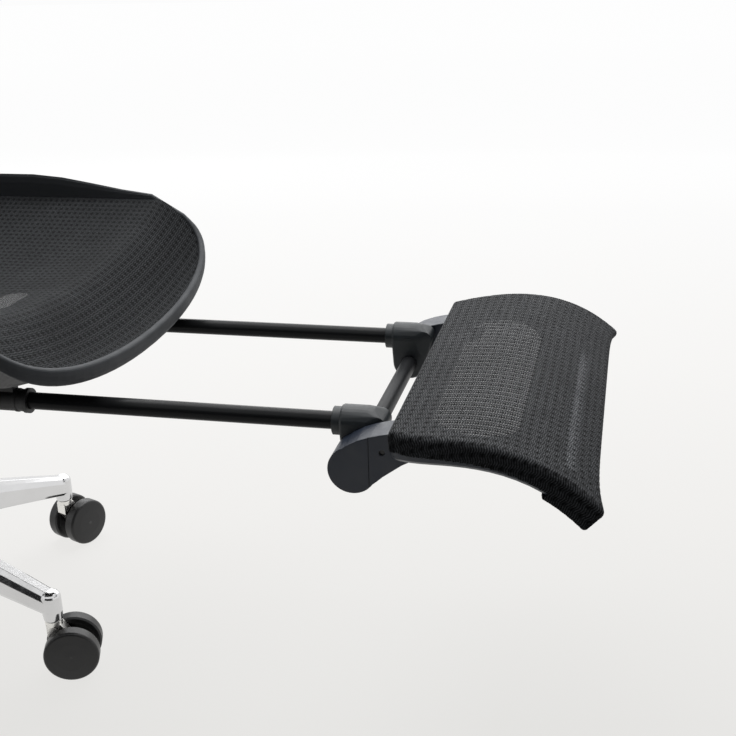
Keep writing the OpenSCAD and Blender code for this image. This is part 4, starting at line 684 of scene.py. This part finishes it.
def stage_plane(name, mat, width, height, location=(0, 0, 0), rotation=(0, 0, 0)):
    mesh = bpy.data.meshes.new(name)
    w, h = width / 2, height / 2
    mesh.from_pydata([(-w, -h, 0), (w, -h, 0), (w, h, 0), (-w, h, 0)], [], [(0, 1, 2, 3)])
    mesh.materials.append(mat)
    obj = bpy.data.objects.new(name, mesh)
    obj.location = location
    obj.rotation_euler = rotation
    SCENE.collection.objects.link(obj)


def area_lamp(name, where, aim, width, height, power):
    lamp = bpy.data.lights.new(name, "AREA")
    lamp.shape = "RECTANGLE"
    lamp.size, lamp.size_y = width, height
    lamp.energy = power
    obj = bpy.data.objects.new(name, lamp)
    obj.location = where
    obj.rotation_euler = (Vector(aim) - Vector(where)).to_track_quat("-Z", "Y").to_euler()
    SCENE.collection.objects.link(obj)


def studio():
    """Broad light from above and from the far side, a pale floor, and a dark room behind the camera."""
    world = bpy.data.worlds.new("studio")
    SCENE.world = world
    world.use_nodes = True
    tree = world.node_tree
    tree.nodes.clear()
    out = tree.nodes.new("ShaderNodeOutputWorld")
    shown, lit = (tree.nodes.new("ShaderNodeBackground") for _ in range(2))
    shown.inputs["Color"].default_value = grey(BACKDROP)
    lit.inputs["Color"].default_value = (*SKY_COLOR, 1)
    lit.inputs["Strength"].default_value = SKY_STRENGTH
    blend = tree.nodes.new("ShaderNodeMixShader")
    tree.links.new(background_rays(tree), blend.inputs[0])
    tree.links.new(lit.outputs[0], blend.inputs[1])
    tree.links.new(shown.outputs[0], blend.inputs[2])
    tree.links.new(blend.outputs[0], out.inputs[0])
    stage_plane("floor", floor_material(), width=30, height=30)
    stage_plane("dark_room", dark_room_material(), width=6, height=2.4, location=(-3.0, -0.8, 1.2),
                rotation=(math.pi / 2, 0, math.pi / 2))
    area_lamp("top", where=(0.9, -0.3, 2.9), aim=(0.1, -0.4, 0.4), width=2.6, height=2.2, power=62)
    area_lamp("far", where=(3.0, -0.2, 1.7), aim=(0, -0.4, 0.4), width=3.6, height=1.8, power=34)


def camera():
    """The photograph's view: 736 x 736 pixels, with a focal length of 1150 of them."""
    pixels, focal, sensor = 736, 1150, 36
    pitch, turn, roll = (math.radians(v) for v in (20.8, 13.3, 1.7))
    flat = math.cos(pitch)
    ahead = Vector((math.cos(turn) * flat, math.sin(turn) * flat, -math.sin(pitch)))
    level = Vector((math.sin(turn), -math.cos(turn), 0))
    below = ahead.cross(level)
    right = level * math.cos(roll) + below * math.sin(roll)
    down = below * math.cos(roll) - level * math.sin(roll)
    data = bpy.data.cameras.new("photo_camera")
    data.sensor_width = sensor
    data.sensor_fit = "HORIZONTAL"
    data.lens = sensor * focal / pixels
    data.clip_start, data.clip_end = 0.05, 60
    obj = bpy.data.objects.new("photo_camera", data)
    turned = Matrix((right, -down, -ahead)).transposed().to_4x4()
    obj.matrix_world = Matrix.Translation(CAMERA_AT) @ turned
    SCENE.collection.objects.link(obj)
    SCENE.camera = obj


dress()
finish_nodes()
studio()
camera()
SCENE.view_settings.view_transform = "Standard"
